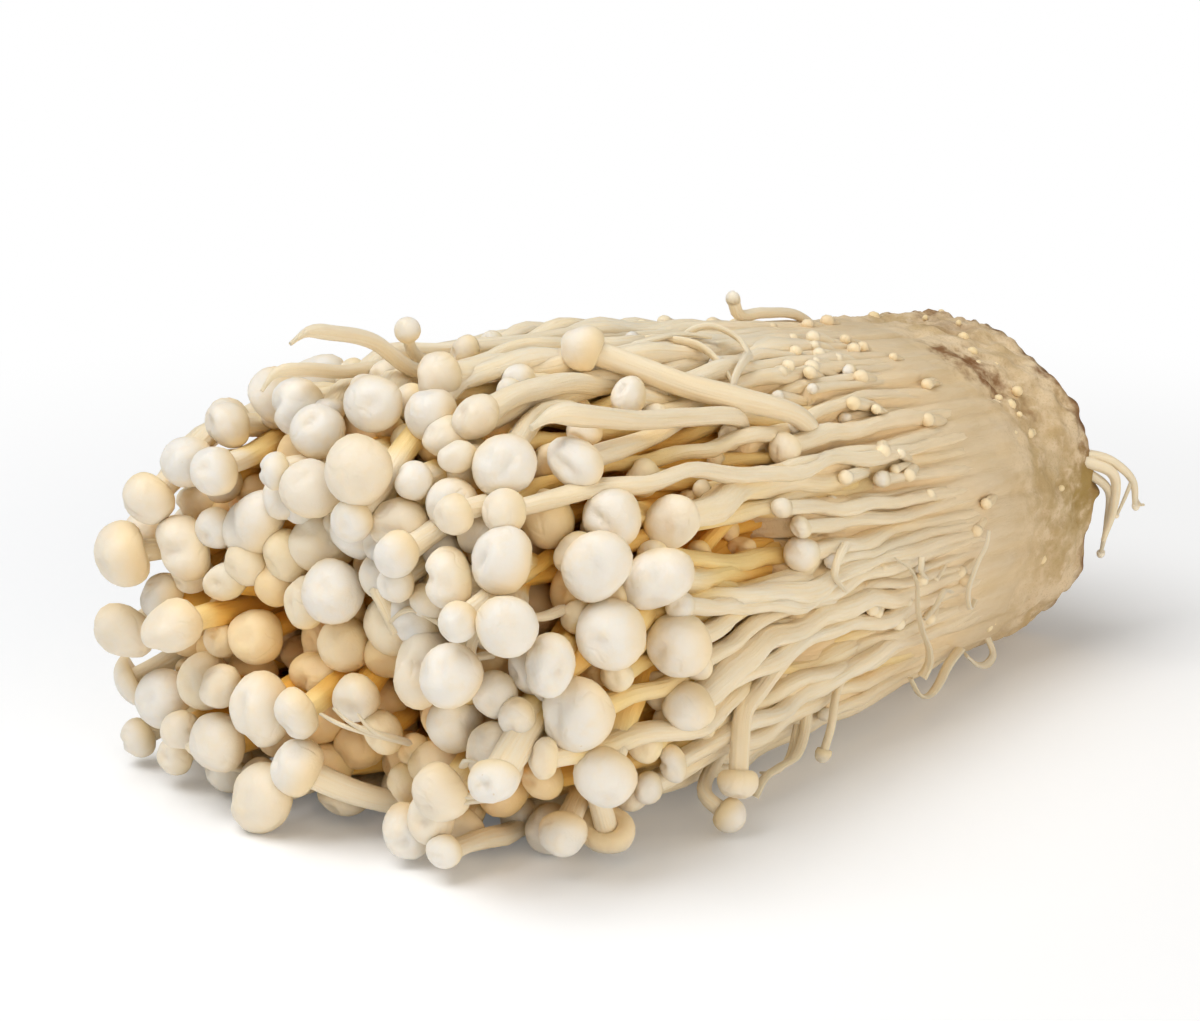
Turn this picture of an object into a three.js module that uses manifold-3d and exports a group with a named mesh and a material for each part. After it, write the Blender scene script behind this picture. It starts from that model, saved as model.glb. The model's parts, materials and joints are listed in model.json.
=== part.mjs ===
// A bunch of enoki mushrooms lying on its side, in millimetres, +Z up.
// The long axis runs along X: the cut root end is at +X and the caps point towards -X. The bunch
// rests on the plane Z = 0. The origin is under the middle of its bounding box.
//
// A bunch like this grows as tufts. The mushrooms of one tuft are joined at the foot, and all the
// feet stand on one root mass, which a knife has cut flat. So each tuft is one solid, the root mass
// is one, and the few mushrooms that have worked loose from the bunch are one each.
import * as THREE from "three";
import { mergeVertices } from "three/addons/utils/BufferGeometryUtils.js";
import Module from "manifold-3d";

// ---- Driving dimensions ----

// "Reach" is a distance from the cut root end along the bunch. A section of the bunch is an oval
// that lies on the table: half its width and half its height, at each reach. Its lower half is
// squarer than an ellipse, because the loose mushrooms sag: the belly is what that adds to the
// exponent of the oval's formula.
const SECTION_REACH = [0, 26, 50, 80, 105, 125, 146];
const SECTION_HALF_WIDTH = [30, 31.5, 34.5, 38, 42, 43, 38];
const SECTION_HALF_HEIGHT = [25.5, 26.5, 28.5, 30.5, 32, 31, 26];
const SECTION_BELLY = [0.3, 1.2, 1.5, 1.9, 1.6, 1.1, 0.8];
const ROUND_EXPONENT = 2.1; // 2 is an ellipse
const BELLY_START = 0.6; // the belly is full from this share of the half height downwards

const ROOT_LENGTH = 26; // the cut root mass
const FOOT_LENGTH = 5; // the joined foot of a tuft, in front of the root mass
const FOOT_MARGIN = 0.55; // kept between a stem and the edge of its tuft's foot
const FOOT_STEPS = 4; // straight sides of its outline, per radian of the bunch's rim
const GAP = 0.3; // between pieces that touch
const ROOT_RINGS = [0, 3, 9, 15, 21, ROOT_LENGTH]; // reaches of the root mass's rings of points
const ROOT_SIDES = 30;
const ROOT_LUMP = 0.02; // how uneven it is, as a share of its radius
const ROOT_WAVES = [5, 9]; // the waves of that, around the bunch
const ROOT_TWIST = [2, -3]; // and how far they turn from ring to ring, in radians
const ROOT_SETTLED = 0.9; // how much of its underside has settled flat

const MUSHROOMS = 150;
const SEED = 7;
const RING_NAMES = ["core", "inner", "middle", "outer"];
const RING_TUFTS = [3, 8, 12, 17]; // tufts in each ring, from the middle outwards
const STEM_STATIONS = [29, 56, 85, 112]; // reaches at which every stem has a bend
const LEAST_STRETCH = 10; // between the last bend and the cap
const STEM_FOOT_RADIUS = 1.4;
const STEM_NECK_RADIUS = 1.7;
const CAP_RADIUS = [3.5, 5.0]; // smallest and largest cap of the crowded end
const SHORT_CAP_RADIUS = [2.3, 3.6]; // caps of the short mushrooms on the flanks
const SIDES = 6; // around a stem or a cap
const CAP_UNDERSIDE = -0.6; // where the stem enters the cap, in cap radii from the cap's middle
const CAP_FORM = [[-0.42, 0.93], [0.35, 0.88], [0.9, 0]]; // [distance along, radius], in cap radii
const STEM_END_FORM = [[0, 0.8], [0.5, 0]]; // the same of a bare stem's end, in stem radii
const STEM_SHARE = 0.95; // the outermost stems stand this far out in the section
const CAP_SHARE = 0.9; // and the outermost caps this far
const STEM_WAVE = 2.4; // how far a stem sways between its bends
const WAVE_LENGTH = [21, 17]; // sideways and upwards, per radian

const LONGEST_REACH = 146;
const DOME_DROP = 12; // how much shorter the outermost mushrooms are than the middle ones
const SLANT = 10; // the -Y flank is this much shorter than the middle, and the +Y flank longer
const STOOP = 6; // the top is this much shorter than the middle, and the bottom longer
const REACH_SPREAD = 19; // mushrooms of one place differ in length by up to this
const SHORT_REACH = [66, 108]; // of the short mushrooms that stand along the flanks
const SHORT_FROM = 0.72; // they grow outside this share of the radius
const SHORT_ABOVE = -0.4; // and not in the lowest part of the section, as a share of its half height
const SHORT_CHANCE = [0.3, 0.55]; // at the +Y flank and at the -Y flank

const SETTLE_ROUNDS = 540;
const HELD_ROUNDS = 230; // the bunch is held to its section for so long
const LOOSE = 3; // and may then stand out of it by this much
const HOME_PULL = 0.06; // how hard a mushroom is drawn back to where it grew, at the start
const HOME_ROUNDS = 386; // until that pull has faded away
const EASE = 0.45; // share of a push that is made in one round
const STEM_CLEARANCE = 0.55; // kept between two stems
const CAP_CLEARANCE = 0.4; // kept around a cap
const BESIDE_CAP = 0.4; // a stem counts as hidden by its own cap from here on, in cap radii
const BALL_STEP = 1.6; // between the balls along a stray, in stem radii
const BALL_RADIUS = 1.12; // of those balls, in stem radii
const END_BALL_RADIUS = 1.05; // of the ball at its cap, in cap radii
const ROOM_CLEARANCE = 0.95; // that a full-grown cap needs, or else it stays smaller
const SMALLEST_CAP = 2; // of a mushroom whose cap stays crowded

const ROOMY = 400; // larger than the whole bunch

const CAP_COLOUR = 0xf4ece0;
const STEM_COLOUR = 0xeadbbd;
const ROOT_COLOUR = 0xcbb48c;

// ---- Small helpers ----

const GOLDEN_ANGLE = Math.PI * (3 - Math.sqrt(5));
const mix = (a, b, t) => a + (b - a) * t;
const clamp = (x, low, high) => Math.min(high, Math.max(low, x));

// A repeatable random number from 0 to 1.
function makeRandom(seed) {
  let state = seed >>> 0;
  return () => {
    state = (Math.imul(state, 1664525) + 1013904223) >>> 0;
    return state / 4294967296;
  };
}

// The value at x of the straight lines through the points (xs[i], ys[i]).
function along(x, xs, ys) {
  let i = 0;
  while (i < xs.length - 2 && x > xs[i + 1]) i++;
  const t = clamp((x - xs[i]) / (xs[i + 1] - xs[i]), 0, 1);
  return mix(ys[i], ys[i + 1], t);
}

const halfWidth = (reach) => along(reach, SECTION_REACH, SECTION_HALF_WIDTH);
const halfHeight = (reach) => along(reach, SECTION_REACH, SECTION_HALF_HEIGHT);
const belly = (reach) => along(reach, SECTION_REACH, SECTION_BELLY);

// The point of a section at a share `rho` of the way out, in the direction `angle` from +Y.
function sectionPoint(reach, rho, angle) {
  const [c, s] = [Math.cos(angle), Math.sin(angle)];
  const n = ROUND_EXPONENT + (s < 0 ? belly(reach) * Math.min(1, -s / BELLY_START) : 0);
  const k = rho * (Math.abs(c) ** n + Math.abs(s) ** n) ** (-1 / n);
  return { y: halfWidth(reach) * k * c, z: halfHeight(reach) * (1 + k * s) };
}

const stemRadius = (reach) =>
  along(reach, [STEM_STATIONS[0], STEM_STATIONS[3]], [STEM_FOOT_RADIUS, STEM_NECK_RADIUS]);

// ---- Growth: where each mushroom stands, how long it is and how large its cap ----

// The ring and the sector of the root mass in which a mushroom stands.
function tuftOf(rho, angle) {
  const total = RING_TUFTS.reduce((sum, n) => sum + n, 0);
  let inner = 0;
  let before = 0;
  for (let ring = 0; ring < RING_TUFTS.length; ring++) {
    const count = RING_TUFTS[ring];
    const outer = Math.sqrt((before + count) / total);
    if (rho < outer || ring === RING_TUFTS.length - 1) {
      const sector = Math.floor((angle / (2 * Math.PI)) * count) % count;
      const step = (2 * Math.PI) / count;
      return { ring, sector, inner, outer, from: sector * step, to: (sector + 1) * step };
    }
    inner = outer;
    before += count;
  }
}

function growMushrooms() {
  const random = makeRandom(SEED);
  return Array.from({ length: MUSHROOMS }, (_, i) => {
    const rho = Math.sqrt((i + 0.5) / MUSHROOMS);
    const angle = (i * GOLDEN_ANGLE) % (2 * Math.PI);
    const across = rho * Math.cos(angle);
    const upward = rho * Math.sin(angle);
    const flank = rho > SHORT_FROM && upward > SHORT_ABOVE;
    const short = flank && random() < mix(...SHORT_CHANCE, (1 - across) / 2);
    const [chance, size] = [random(), random()];
    const top = LONGEST_REACH - DOME_DROP * rho ** 3 + SLANT * across - STOOP * upward;
    const reach = short ? mix(...SHORT_REACH, chance) : top - REACH_SPREAD * chance;
    const cap = mix(...(short ? SHORT_CAP_RADIUS : CAP_RADIUS), size);
    const tip = reach - cap;
    const stations = STEM_STATIONS.filter((s) => s < tip - LEAST_STRETCH).concat(tip);
    const wave = [random() - 0.5, random() - 0.5].map((w) => w * STEM_WAVE);
    const phase = [random(), random()].map((p) => p * 2 * Math.PI);
    const home = stations.map((s, k) => {
      const share = k === stations.length - 1 ? CAP_SHARE : STEM_SHARE;
      const place = sectionPoint(s, rho * share, angle);
      const sway = k === 0 ? 0 : 1;
      return {
        y: place.y + sway * wave[0] * Math.sin(s / WAVE_LENGTH[0] + phase[0]),
        z: place.z + sway * wave[1] * Math.sin(s / WAVE_LENGTH[1] + phase[1]),
      };
    });
    return { cap, tip, stations, home, tuft: tuftOf(rho, angle) };
  });
}

// ---- Strays: mushrooms and bare stems that stick out of the bunch ----

// Each point is [reach, y, z]. The last point is the middle of the cap, or the end of a bare stem.
const STRAYS = [
  { name: "hanging_mushroom_front", cap: 3.5, stem: 1.55, points: [
    [103, -17, 29], [112, -23, 25.5], [119, -28.5, 21], [121, -33, 16.5], [119.5, -34.5, 10.5],
    [116.5, -33.5, 4.2]] },
  { name: "folded_mushroom_side", cap: 2.75, stem: 1.4, points: [
    [66, -31, 24], [79, -33.5, 20.5], [89, -36.5, 18], [94.3, -38, 16], [96.5, -39.5, 12.8],
    [98.5, -41, 8]] },
  { name: "low_mushroom_side", cap: 2.5, stem: 1.1, points: [
    [86, -30, 11], [94, -33.5, 8.5], [100, -36.5, 5.2], [99, -40, 3]] },
  { name: "thin_mushroom_side", cap: 1.3, stem: 0.6, points: [
    [62, -30, 14], [70, -34.3, 10.8], [72, -35.4, 7.6], [73.5, -35.2, 3.6]] },
  { name: "left_mushroom_upper", cap: 3.5, stem: 1.7, points: [
    [121, 30.5, 20], [129, 34.5, 18], [138.5, 40.5, 12.5]] },
  { name: "left_mushroom_lower", cap: 2.9, stem: 1.4, points: [
    [118, 33.5, 9], [129, 37, 6.5], [138.7, 39.3, 4.2]] },
  { name: "left_mushroom_front", cap: 2.9, stem: 1.5, points: [
    [120, 24, 8], [130, 26.5, 6], [140.5, 28.5, 5]] },
  { name: "front_mushroom_large", cap: 4.6, stem: 1.75, points: [
    [108, 8, 4.6], [124, 8, 4.4], [143, 7, 5.2]] },
  { name: "front_mushroom_long", cap: 4.0, stem: 1.8, points: [
    [106, -15, 5.5], [119, -12.5, 4.2], [129, -8.5, 4.6], [135.5, -4, 7], [141.5, 0.6, 11]] },
  { name: "top_mushroom_small", cap: 1.9, stem: 0.8, points: [
    [104, 9.5, 58.5], [111, 8, 61.4], [113.5, 7, 63.4], [115, 6, 66.4]] },
  { name: "top_mushroom_large", cap: 3.35, stem: 1.85, points: [
    [70, -26, 51.5], [80, -23.5, 55.4], [86, -20.5, 57.6], [92, -15, 60.8], [96.8, -10, 63.4]] },
  { name: "pin_mushroom_top", cap: 1.2, stem: 0.9, points: [
    [33, 5, 54.2], [43.5, 4.2, 56.8], [49, 4, 57.8], [50, 4, 60.2]] },
  { name: "bare_stem_top_long", cap: 0, stem: 1.1, points: [
    [106, 2.5, 60], [115, 4.5, 61], [122.5, 5.2, 66.4], [129, 5, 68.6], [134.5, 5, 69.6],
    [137, 5, 68.6]] },
  { name: "bare_stem_top_short", cap: 0, stem: 1, points: [
    [110, 12, 59], [124, 10.5, 61.4], [131, 10, 63], [136, 10, 63.2], [138, 10, 61.4]] },
  { name: "broken_stem_side", cap: 0, stem: 1.55, points: [
    [82, -24.5, 53.4], [92, -25.5, 55.4], [104, -26.5, 57.6], [113, -26.6, 60], [119, -26, 61.2],
    [123, -26, 60.2]] },
];

// Threads of the root mass that hang out past the knife's cut.
const ROOT_STRANDS = [
  { stem: 0.9, points: [[4, -25, 36], [-1.2, -31, 32.5], [-3.6, -33.4, 28], [-4, -33.8, 23.5]] },
  { stem: 0.8, points: [[4, -25, 31], [-1.2, -30, 27], [-3.2, -29.4, 20], [-3.4, -28, 14.5]] },
];

// Balls along each stray that the crowded mushrooms have to make room for.
function strayBalls() {
  const balls = [];
  for (const { points, cap, stem } of STRAYS) {
    for (let k = 0; k < points.length - 1; k++) {
      const [from, to] = [points[k], points[k + 1]].map((p) => new THREE.Vector3(...p));
      const steps = Math.ceil(from.distanceTo(to) / (stem * BALL_STEP));
      for (let i = 0; i < steps; i++) {
        const at = from.clone().lerp(to, i / steps);
        balls.push({ reach: at.x, y: at.y, z: at.z, radius: stem * BALL_RADIUS });
      }
    }
    const [reach, y, z] = points[points.length - 1];
    balls.push({ reach, y, z, radius: Math.max(cap, stem) * END_BALL_RADIUS });
  }
  return balls;
}

// ---- Settling: stems and caps push each other aside until none overlap ----

// How far `b` has to move across the bunch, away from `a`, to be `need` from it.
function shortfall(a, b, need) {
  const dy = b.y - a.y;
  const dz = b.z - a.z;
  const distance = Math.hypot(dy, dz) || 1e-6;
  const missing = Math.max(0, need - distance) / distance;
  return { y: dy * missing, z: dz * missing };
}

function push(point, move, share) {
  point.moveY += move.y * share;
  point.moveZ += move.z * share;
}

const between = (p, q, t) => ({ y: mix(p.y, q.y, t), z: mix(p.z, q.z, t) });

// Two stems, along each stretch that both have: they are pushed apart where they come closest.
function clearStems(a, b) {
  const [short, long] = a.tip < b.tip ? [a, b] : [b, a];
  for (let k = 0; k < short.points.length - 1; k++) {
    const [from, to] = [short.stations[k], short.stations[k + 1]];
    const part = Math.min(1, (to - from) / (long.stations[k + 1] - from));
    const [p, q] = [short.points[k], short.points[k + 1]];
    const [u, v] = [long.points[k], between(long.points[k], long.points[k + 1], part)];
    const [y0, z0, y1, z1] = [u.y - p.y, u.z - p.z, v.y - q.y, v.z - q.z];
    const spread = (y1 - y0) ** 2 + (z1 - z0) ** 2;
    const t = clamp(-(y0 * (y1 - y0) + z0 * (z1 - z0)) / (spread + 1e-9), 0, 1);
    const need = 2 * stemRadius(mix(from, to, t)) + STEM_CLEARANCE;
    const move = shortfall(between(p, q, t), between(u, v, t), need);
    push(p, move, -(1 - t) / 2);
    push(q, move, -t / 2);
    push(u, move, (1 - t * part) / 2);
    push(long.points[k + 1], move, (t * part) / 2);
  }
}

// The stretch of a stem that crosses the section at a reach, or null beside the cap or past it.
function stemAt(m, reach) {
  if (reach <= m.stations[0] || reach >= m.tip - BESIDE_CAP * m.cap) return null;
  let k = 0;
  while (k < m.points.length - 2 && reach > m.stations[k + 1]) k++;
  const t = (reach - m.stations[k]) / (m.stations[k + 1] - m.stations[k]);
  return { k, t, ...between(m.points[k], m.points[k + 1], t) };
}

// A ball (a cap, or a piece of a stray) and the stem of a mushroom. A stray's ball doesn't move.
function clearBallAndStem(ball, m, ballPoint) {
  const stem = stemAt(m, ball.reach);
  if (!stem) return;
  const need = ball.radius + stemRadius(ball.reach) + CAP_CLEARANCE;
  const move = shortfall(ball, stem, need);
  const share = ballPoint ? 0.5 : 1;
  const reachBoth = share / (stem.t ** 2 + (1 - stem.t) ** 2);
  push(m.points[stem.k], move, (1 - stem.t) * reachBoth);
  push(m.points[stem.k + 1], move, stem.t * reachBoth);
  if (ballPoint) push(ballPoint, move, -share);
}

// Two balls: what their distance along the bunch leaves open is kept across it.
function clearBalls(a, b, pointA, pointB) {
  const need = a.radius + b.radius + CAP_CLEARANCE;
  const apart = Math.abs(a.reach - b.reach);
  if (apart >= need) return;
  const move = shortfall(a, b, Math.sqrt(need ** 2 - apart ** 2));
  push(pointA, move, pointB ? -0.5 : -1);
  if (pointB) push(pointB, move, 0.5);
}

// Where a point lies in the section: its direction, its share of the way out, and how far out
// the edge is in that direction.
function sectionPlace(reach, p) {
  const height = halfHeight(reach);
  const angle = Math.atan2(p.z / height - 1, p.y / halfWidth(reach));
  const edge = sectionPoint(reach, 1, angle);
  const edgeDistance = Math.hypot(edge.y, edge.z - height);
  return { angle, edgeDistance, rho: Math.hypot(p.y, p.z - height) / edgeDistance };
}

// Keeps a stem or a cap inside the section.
function holdInside(p, reach, radius) {
  const { angle, edgeDistance, rho } = sectionPlace(reach, p);
  const most = 1 - radius / edgeDistance;
  if (rho > most) Object.assign(p, sectionPoint(reach, most, angle));
}

// Keeps a stem's foot inside the wedge of its own tuft.
function holdFoot(m) {
  const reach = m.stations[0];
  const p = m.points[0];
  const { angle, rho: out } = sectionPlace(reach, p);
  const margin = (STEM_FOOT_RADIUS + FOOT_MARGIN) / halfHeight(reach);
  const rho = clamp(out, m.tuft.inner + margin, m.tuft.outer - margin);
  const middle = (m.tuft.from + m.tuft.to) / 2;
  const half = Math.max(0, (m.tuft.to - m.tuft.from) / 2 - margin / rho);
  const turn = angle - middle - 2 * Math.PI * Math.round((angle - middle) / (2 * Math.PI));
  Object.assign(p, sectionPoint(reach, rho, middle + clamp(turn, -half, half)));
}

// The cap of a mushroom as a ball.
function capBall(m) {
  const { y, z } = m.points[m.points.length - 1];
  return { reach: m.tip, y, z, radius: m.cap };
}

// How large a crowded cap can grow between its neighbours.
function roomForCap(m, mushrooms, strays) {
  const ball = capBall(m);
  const others = mushrooms.filter((other) => other !== m);
  const rooms = [];
  for (const other of others) {
    const stem = stemAt(other, m.tip);
    if (stem) rooms.push(Math.hypot(stem.y - ball.y, stem.z - ball.z) - stemRadius(m.tip));
  }
  for (const next of [...others.map(capBall), ...strays]) {
    const apart = Math.hypot(next.reach - ball.reach, next.y - ball.y, next.z - ball.z);
    const overlap = ball.radius + next.radius + ROOM_CLEARANCE - apart;
    rooms.push(ball.radius + ROOM_CLEARANCE - overlap * (strays.includes(next) ? 1 : 0.5));
  }
  return clamp(Math.min(...rooms) - ROOM_CLEARANCE, SMALLEST_CAP, m.cap);
}

// All the pushes of one round.
function pushApart(mushrooms, strays) {
  mushrooms.forEach((a, i) => {
    const topA = a.points[a.points.length - 1];
    const ballA = capBall(a);
    mushrooms.forEach((b, j) => {
      if (i !== j) clearBallAndStem(ballA, b, topA);
      if (j <= i) return;
      const topB = b.points[b.points.length - 1];
      clearStems(a, b);
      clearBalls(ballA, capBall(b), topA, topB);
    });
    for (const ball of strays) {
      clearBallAndStem(ball, a, null);
      clearBalls(ballA, ball, topA, null);
    }
  });
}

// Moves the points of a mushroom by their pushes, and keeps them in the bunch and off the table.
function move(m, homesick, loose) {
  m.points.forEach((p, k) => {
    p.y += p.moveY * EASE + (m.home[k].y - p.y) * homesick;
    p.z += p.moveZ * EASE + (m.home[k].z - p.z) * homesick;
    p.moveY = 0;
    p.moveZ = 0;
    const radius = k === m.points.length - 1 ? m.cap : stemRadius(m.stations[k]);
    holdInside(p, m.stations[k], radius - loose);
    p.z = Math.max(p.z, radius);
  });
  holdFoot(m);
}

function settle(mushrooms) {
  const strays = strayBalls();
  for (const m of mushrooms) m.points = m.home.map((p) => ({ ...p, moveY: 0, moveZ: 0 }));
  for (let round = 0; round < SETTLE_ROUNDS; round++) {
    pushApart(mushrooms, strays);
    const homesick = HOME_PULL * Math.max(0, 1 - round / HOME_ROUNDS);
    for (const m of mushrooms) move(m, homesick, round < HELD_ROUNDS ? 0 : LOOSE);
  }
  const caps = mushrooms.map((m) => roomForCap(m, mushrooms, strays));
  mushrooms.forEach((m, i) => {
    m.cap = caps[i];
  });
}

// ---- Solids ----

const wasm = await Module();
wasm.setup();

// Turns a closed three.js geometry into a manifold solid.
function solidFrom(geometry) {
  const bare = new THREE.BufferGeometry().setAttribute("position", geometry.getAttribute("position"));
  bare.setIndex(geometry.index);
  const merged = mergeVertices(bare, 1e-3);
  return new wasm.Manifold(new wasm.Mesh({
    numProp: 3,
    vertProperties: merged.attributes.position.array,
    triVerts: new Uint32Array(merged.index.array),
  }));
}

function geometryFrom(solid) {
  const mesh = solid.getMesh();
  const geometry = new THREE.BufferGeometry();
  geometry.setAttribute("position", new THREE.BufferAttribute(mesh.vertProperties, 3));
  geometry.setIndex(new THREE.BufferAttribute(mesh.triVerts, 1));
  return geometry;
}

// A frame that travels along a line without twisting: where each point looks, and its sides.
function frameAlong(line) {
  const last = line.length - 1;
  let side = new THREE.Vector3(0, 0, 1);
  return line.map((_, k) => {
    const ahead = line[Math.min(k + 1, last)].clone().sub(line[Math.max(k - 1, 0)]).normalize();
    side = side.clone().addScaledVector(ahead, -side.dot(ahead)).normalize();
    return { side, other: ahead.cross(side) };
  });
}

// A lathe form whose rings are carried onto a line of points, one ring for each point.
function latheAlong(line, rings) {
  const profile = [new THREE.Vector2(0, 0), ...rings.map((r, k) => new THREE.Vector2(r, k))];
  const form = new THREE.LatheGeometry(profile, SIDES);
  const frame = frameAlong(line);
  const position = form.getAttribute("position");
  for (let i = 0; i < position.count; i++) {
    const k = Math.round(position.getY(i));
    const at = line[k].clone()
      .addScaledVector(frame[k].side, position.getZ(i))
      .addScaledVector(frame[k].other, position.getX(i));
    position.setXYZ(i, at.x, at.y, at.z);
  }
  return form;
}

// A mushroom, or a bare stem where `cap` is 0. `radii[k]` is the stem's radius at points[k]; the
// last point is the middle of the cap or the stem's end. `extra` is added to every radius.
function mushroomForm(points, radii, cap, extra) {
  const line = points.slice(0, -1);
  const stems = radii.slice(0, line.length);
  const neck = stems[stems.length - 1];
  const middle = points[points.length - 1];
  const tip = middle.clone().sub(line[line.length - 1]).normalize();
  const [form, size] = cap > 0
    ? [[[CAP_UNDERSIDE, neck / cap], ...CAP_FORM], cap]
    : [STEM_END_FORM, neck];
  const ends = form.map(([distance]) => middle.clone().addScaledVector(tip, distance * size));
  const widths = form.map(([, width]) => width * size);
  const rings = [...stems, ...widths].map((r) => (r > 0 ? r + extra : 0));
  return latheAlong([...line, ...ends], rings);
}

// Reaches become X, with the cut root end at X = 0 until the bunch is centred.
const toPlace = (reach, y, z) => new THREE.Vector3(-reach, y, z);

function mushroomSolid(m, extra) {
  const points = m.points.map((p, k) => toPlace(m.stations[k], p.y, p.z));
  return solidFrom(mushroomForm(points, m.stations.map(stemRadius), m.cap, extra));
}

function straySolid({ points, stem, cap }, extra) {
  const line = points.map((p) => toPlace(...p));
  return solidFrom(mushroomForm(line, line.map(() => stem), cap, extra));
}

// The joined foot of a tuft: a wedge of a ring, in front of the root mass.
function footSolid({ inner, outer, from, to }) {
  const inset = GAP / halfHeight(ROOT_LENGTH);
  const outline = [];
  const arc = (rho, start, end) => {
    const trim = (Math.sign(end - start) * inset) / rho;
    const steps = Math.max(2, Math.round(Math.abs(end - start) * rho * FOOT_STEPS));
    for (let i = 0; i <= steps; i++) {
      const { y, z } = sectionPoint(ROOT_LENGTH, rho, mix(start + trim, end - trim, i / steps));
      outline.push(new THREE.Vector2(y, z));
    }
  };
  arc(outer - inset, from, to);
  if (inner > 0) {
    arc(inner + inset, to, from);
  } else {
    const { y, z } = sectionPoint(ROOT_LENGTH, 2 * inset, (from + to) / 2);
    outline.push(new THREE.Vector2(y, z));
  }
  const wedge = new THREE.ExtrudeGeometry(new THREE.Shape(outline),
    { depth: FOOT_LENGTH - GAP, bevelEnabled: false });
  wedge.rotateZ(Math.PI / 2).rotateY(Math.PI / 2); // the outline now lies in YZ
  wedge.translate(-(ROOT_LENGTH + FOOT_LENGTH), 0, 0);
  return solidFrom(wedge);
}

// The root mass: an uneven block, cut flat by the knife behind and settled flat underneath.
function rootSolid() {
  const last = ROOT_RINGS.length - 1;
  const profile = [new THREE.Vector2(0, 0), ...ROOT_RINGS.map((_, k) => new THREE.Vector2(1, k)),
    new THREE.Vector2(0, last)];
  const form = new THREE.LatheGeometry(profile, ROOT_SIDES);
  const position = form.getAttribute("position");
  for (let i = 0; i < position.count; i++) {
    const k = Math.round(position.getY(i));
    const angle = Math.atan2(position.getZ(i), position.getX(i));
    const lump = ROOT_WAVES.reduce((sum, n, w) => sum + Math.sin(n * angle + ROOT_TWIST[w] * k + w), 0);
    const edge = 1 + ROOT_LUMP * (lump - (k === 0 || k === last ? 1 : 0));
    const rho = Math.hypot(position.getX(i), position.getZ(i)) * edge;
    const { y, z } = sectionPoint(ROOT_RINGS[k], rho, angle);
    position.setXYZ(i, -ROOT_RINGS[k], y, z - ROOT_SETTLED);
  }
  const above = new THREE.BoxGeometry(ROOMY, ROOMY, ROOMY).translate(0, 0, ROOMY / 2);
  const block = solidFrom(form).intersect(solidFrom(above));
  return ROOT_STRANDS.reduce((sum, strand) => sum.add(straySolid({ ...strand, cap: 0 }, 0)), block);
}

// ---- Assembly ----

const capSkin = new THREE.MeshStandardMaterial({ color: CAP_COLOUR, roughness: 0.5, metalness: 0 });
const stemSkin = new THREE.MeshStandardMaterial({ color: STEM_COLOUR, roughness: 0.42, metalness: 0 });
const rootSkin = new THREE.MeshStandardMaterial({ color: ROOT_COLOUR, roughness: 0.8, metalness: 0 });

const bunch = new THREE.Group();
bunch.name = "enoki_bunch";

// Places a piece. `grown(extra)` makes its solid, with `extra` added to its radii. Where it still
// presses into a piece that is already there, it gives way and leaves a gap.
const placed = [];
function add(name, material, grown) {
  const full = grown(0);
  const solid = placed
    .filter((other) => other.solid.intersect(full).volume() > 0)
    .reduce((rest, other) => rest.subtract(other.grown(GAP)), full);
  placed.push({ solid, grown });
  const mesh = new THREE.Mesh(geometryFrom(solid), material);
  mesh.name = name;
  bunch.add(mesh);
}

add("root_mass", rootSkin, rootSolid);
for (const stray of STRAYS) {
  add(stray.name, stray.cap > 0 ? capSkin : stemSkin, (extra) => straySolid(stray, extra));
}

const mushrooms = growMushrooms();
settle(mushrooms);
RING_TUFTS.forEach((count, ring) => {
  for (let sector = 0; sector < count; sector++) {
    const members = mushrooms.filter((m) => m.tuft.ring === ring && m.tuft.sector === sector);
    const number = String(sector + 1).padStart(2, "0");
    add(`tuft_${RING_NAMES[ring]}_${number}`, stemSkin, (extra) =>
      members.reduce((sum, m) => sum.add(mushroomSolid(m, extra)), footSolid(members[0].tuft)));
  }
});

// The origin goes under the middle of the bounding box.
const box = new THREE.Box3().setFromObject(bunch);
const middle = box.getCenter(new THREE.Vector3());
bunch.position.set(-middle.x, -middle.y, -box.min.z);

export default bunch;
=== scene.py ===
# %% [markdown]
# # A bunch of enoki mushrooms, lying on its side
#
# Enoki grow as one dense bunch: hundreds of thin stems rise from a pale root mass, and each ends
# in a small round cap. The bunch here was cut off with a knife and laid on a table. This notebook
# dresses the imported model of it: it grows the same mushrooms by the same rule, with their real
# bends, folds and dimples, and adds the small things that the solids leave out.

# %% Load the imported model
import json
import math
import bpy
import bmesh
import numpy as np
from mathutils import Euler, Matrix, Vector

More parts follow.
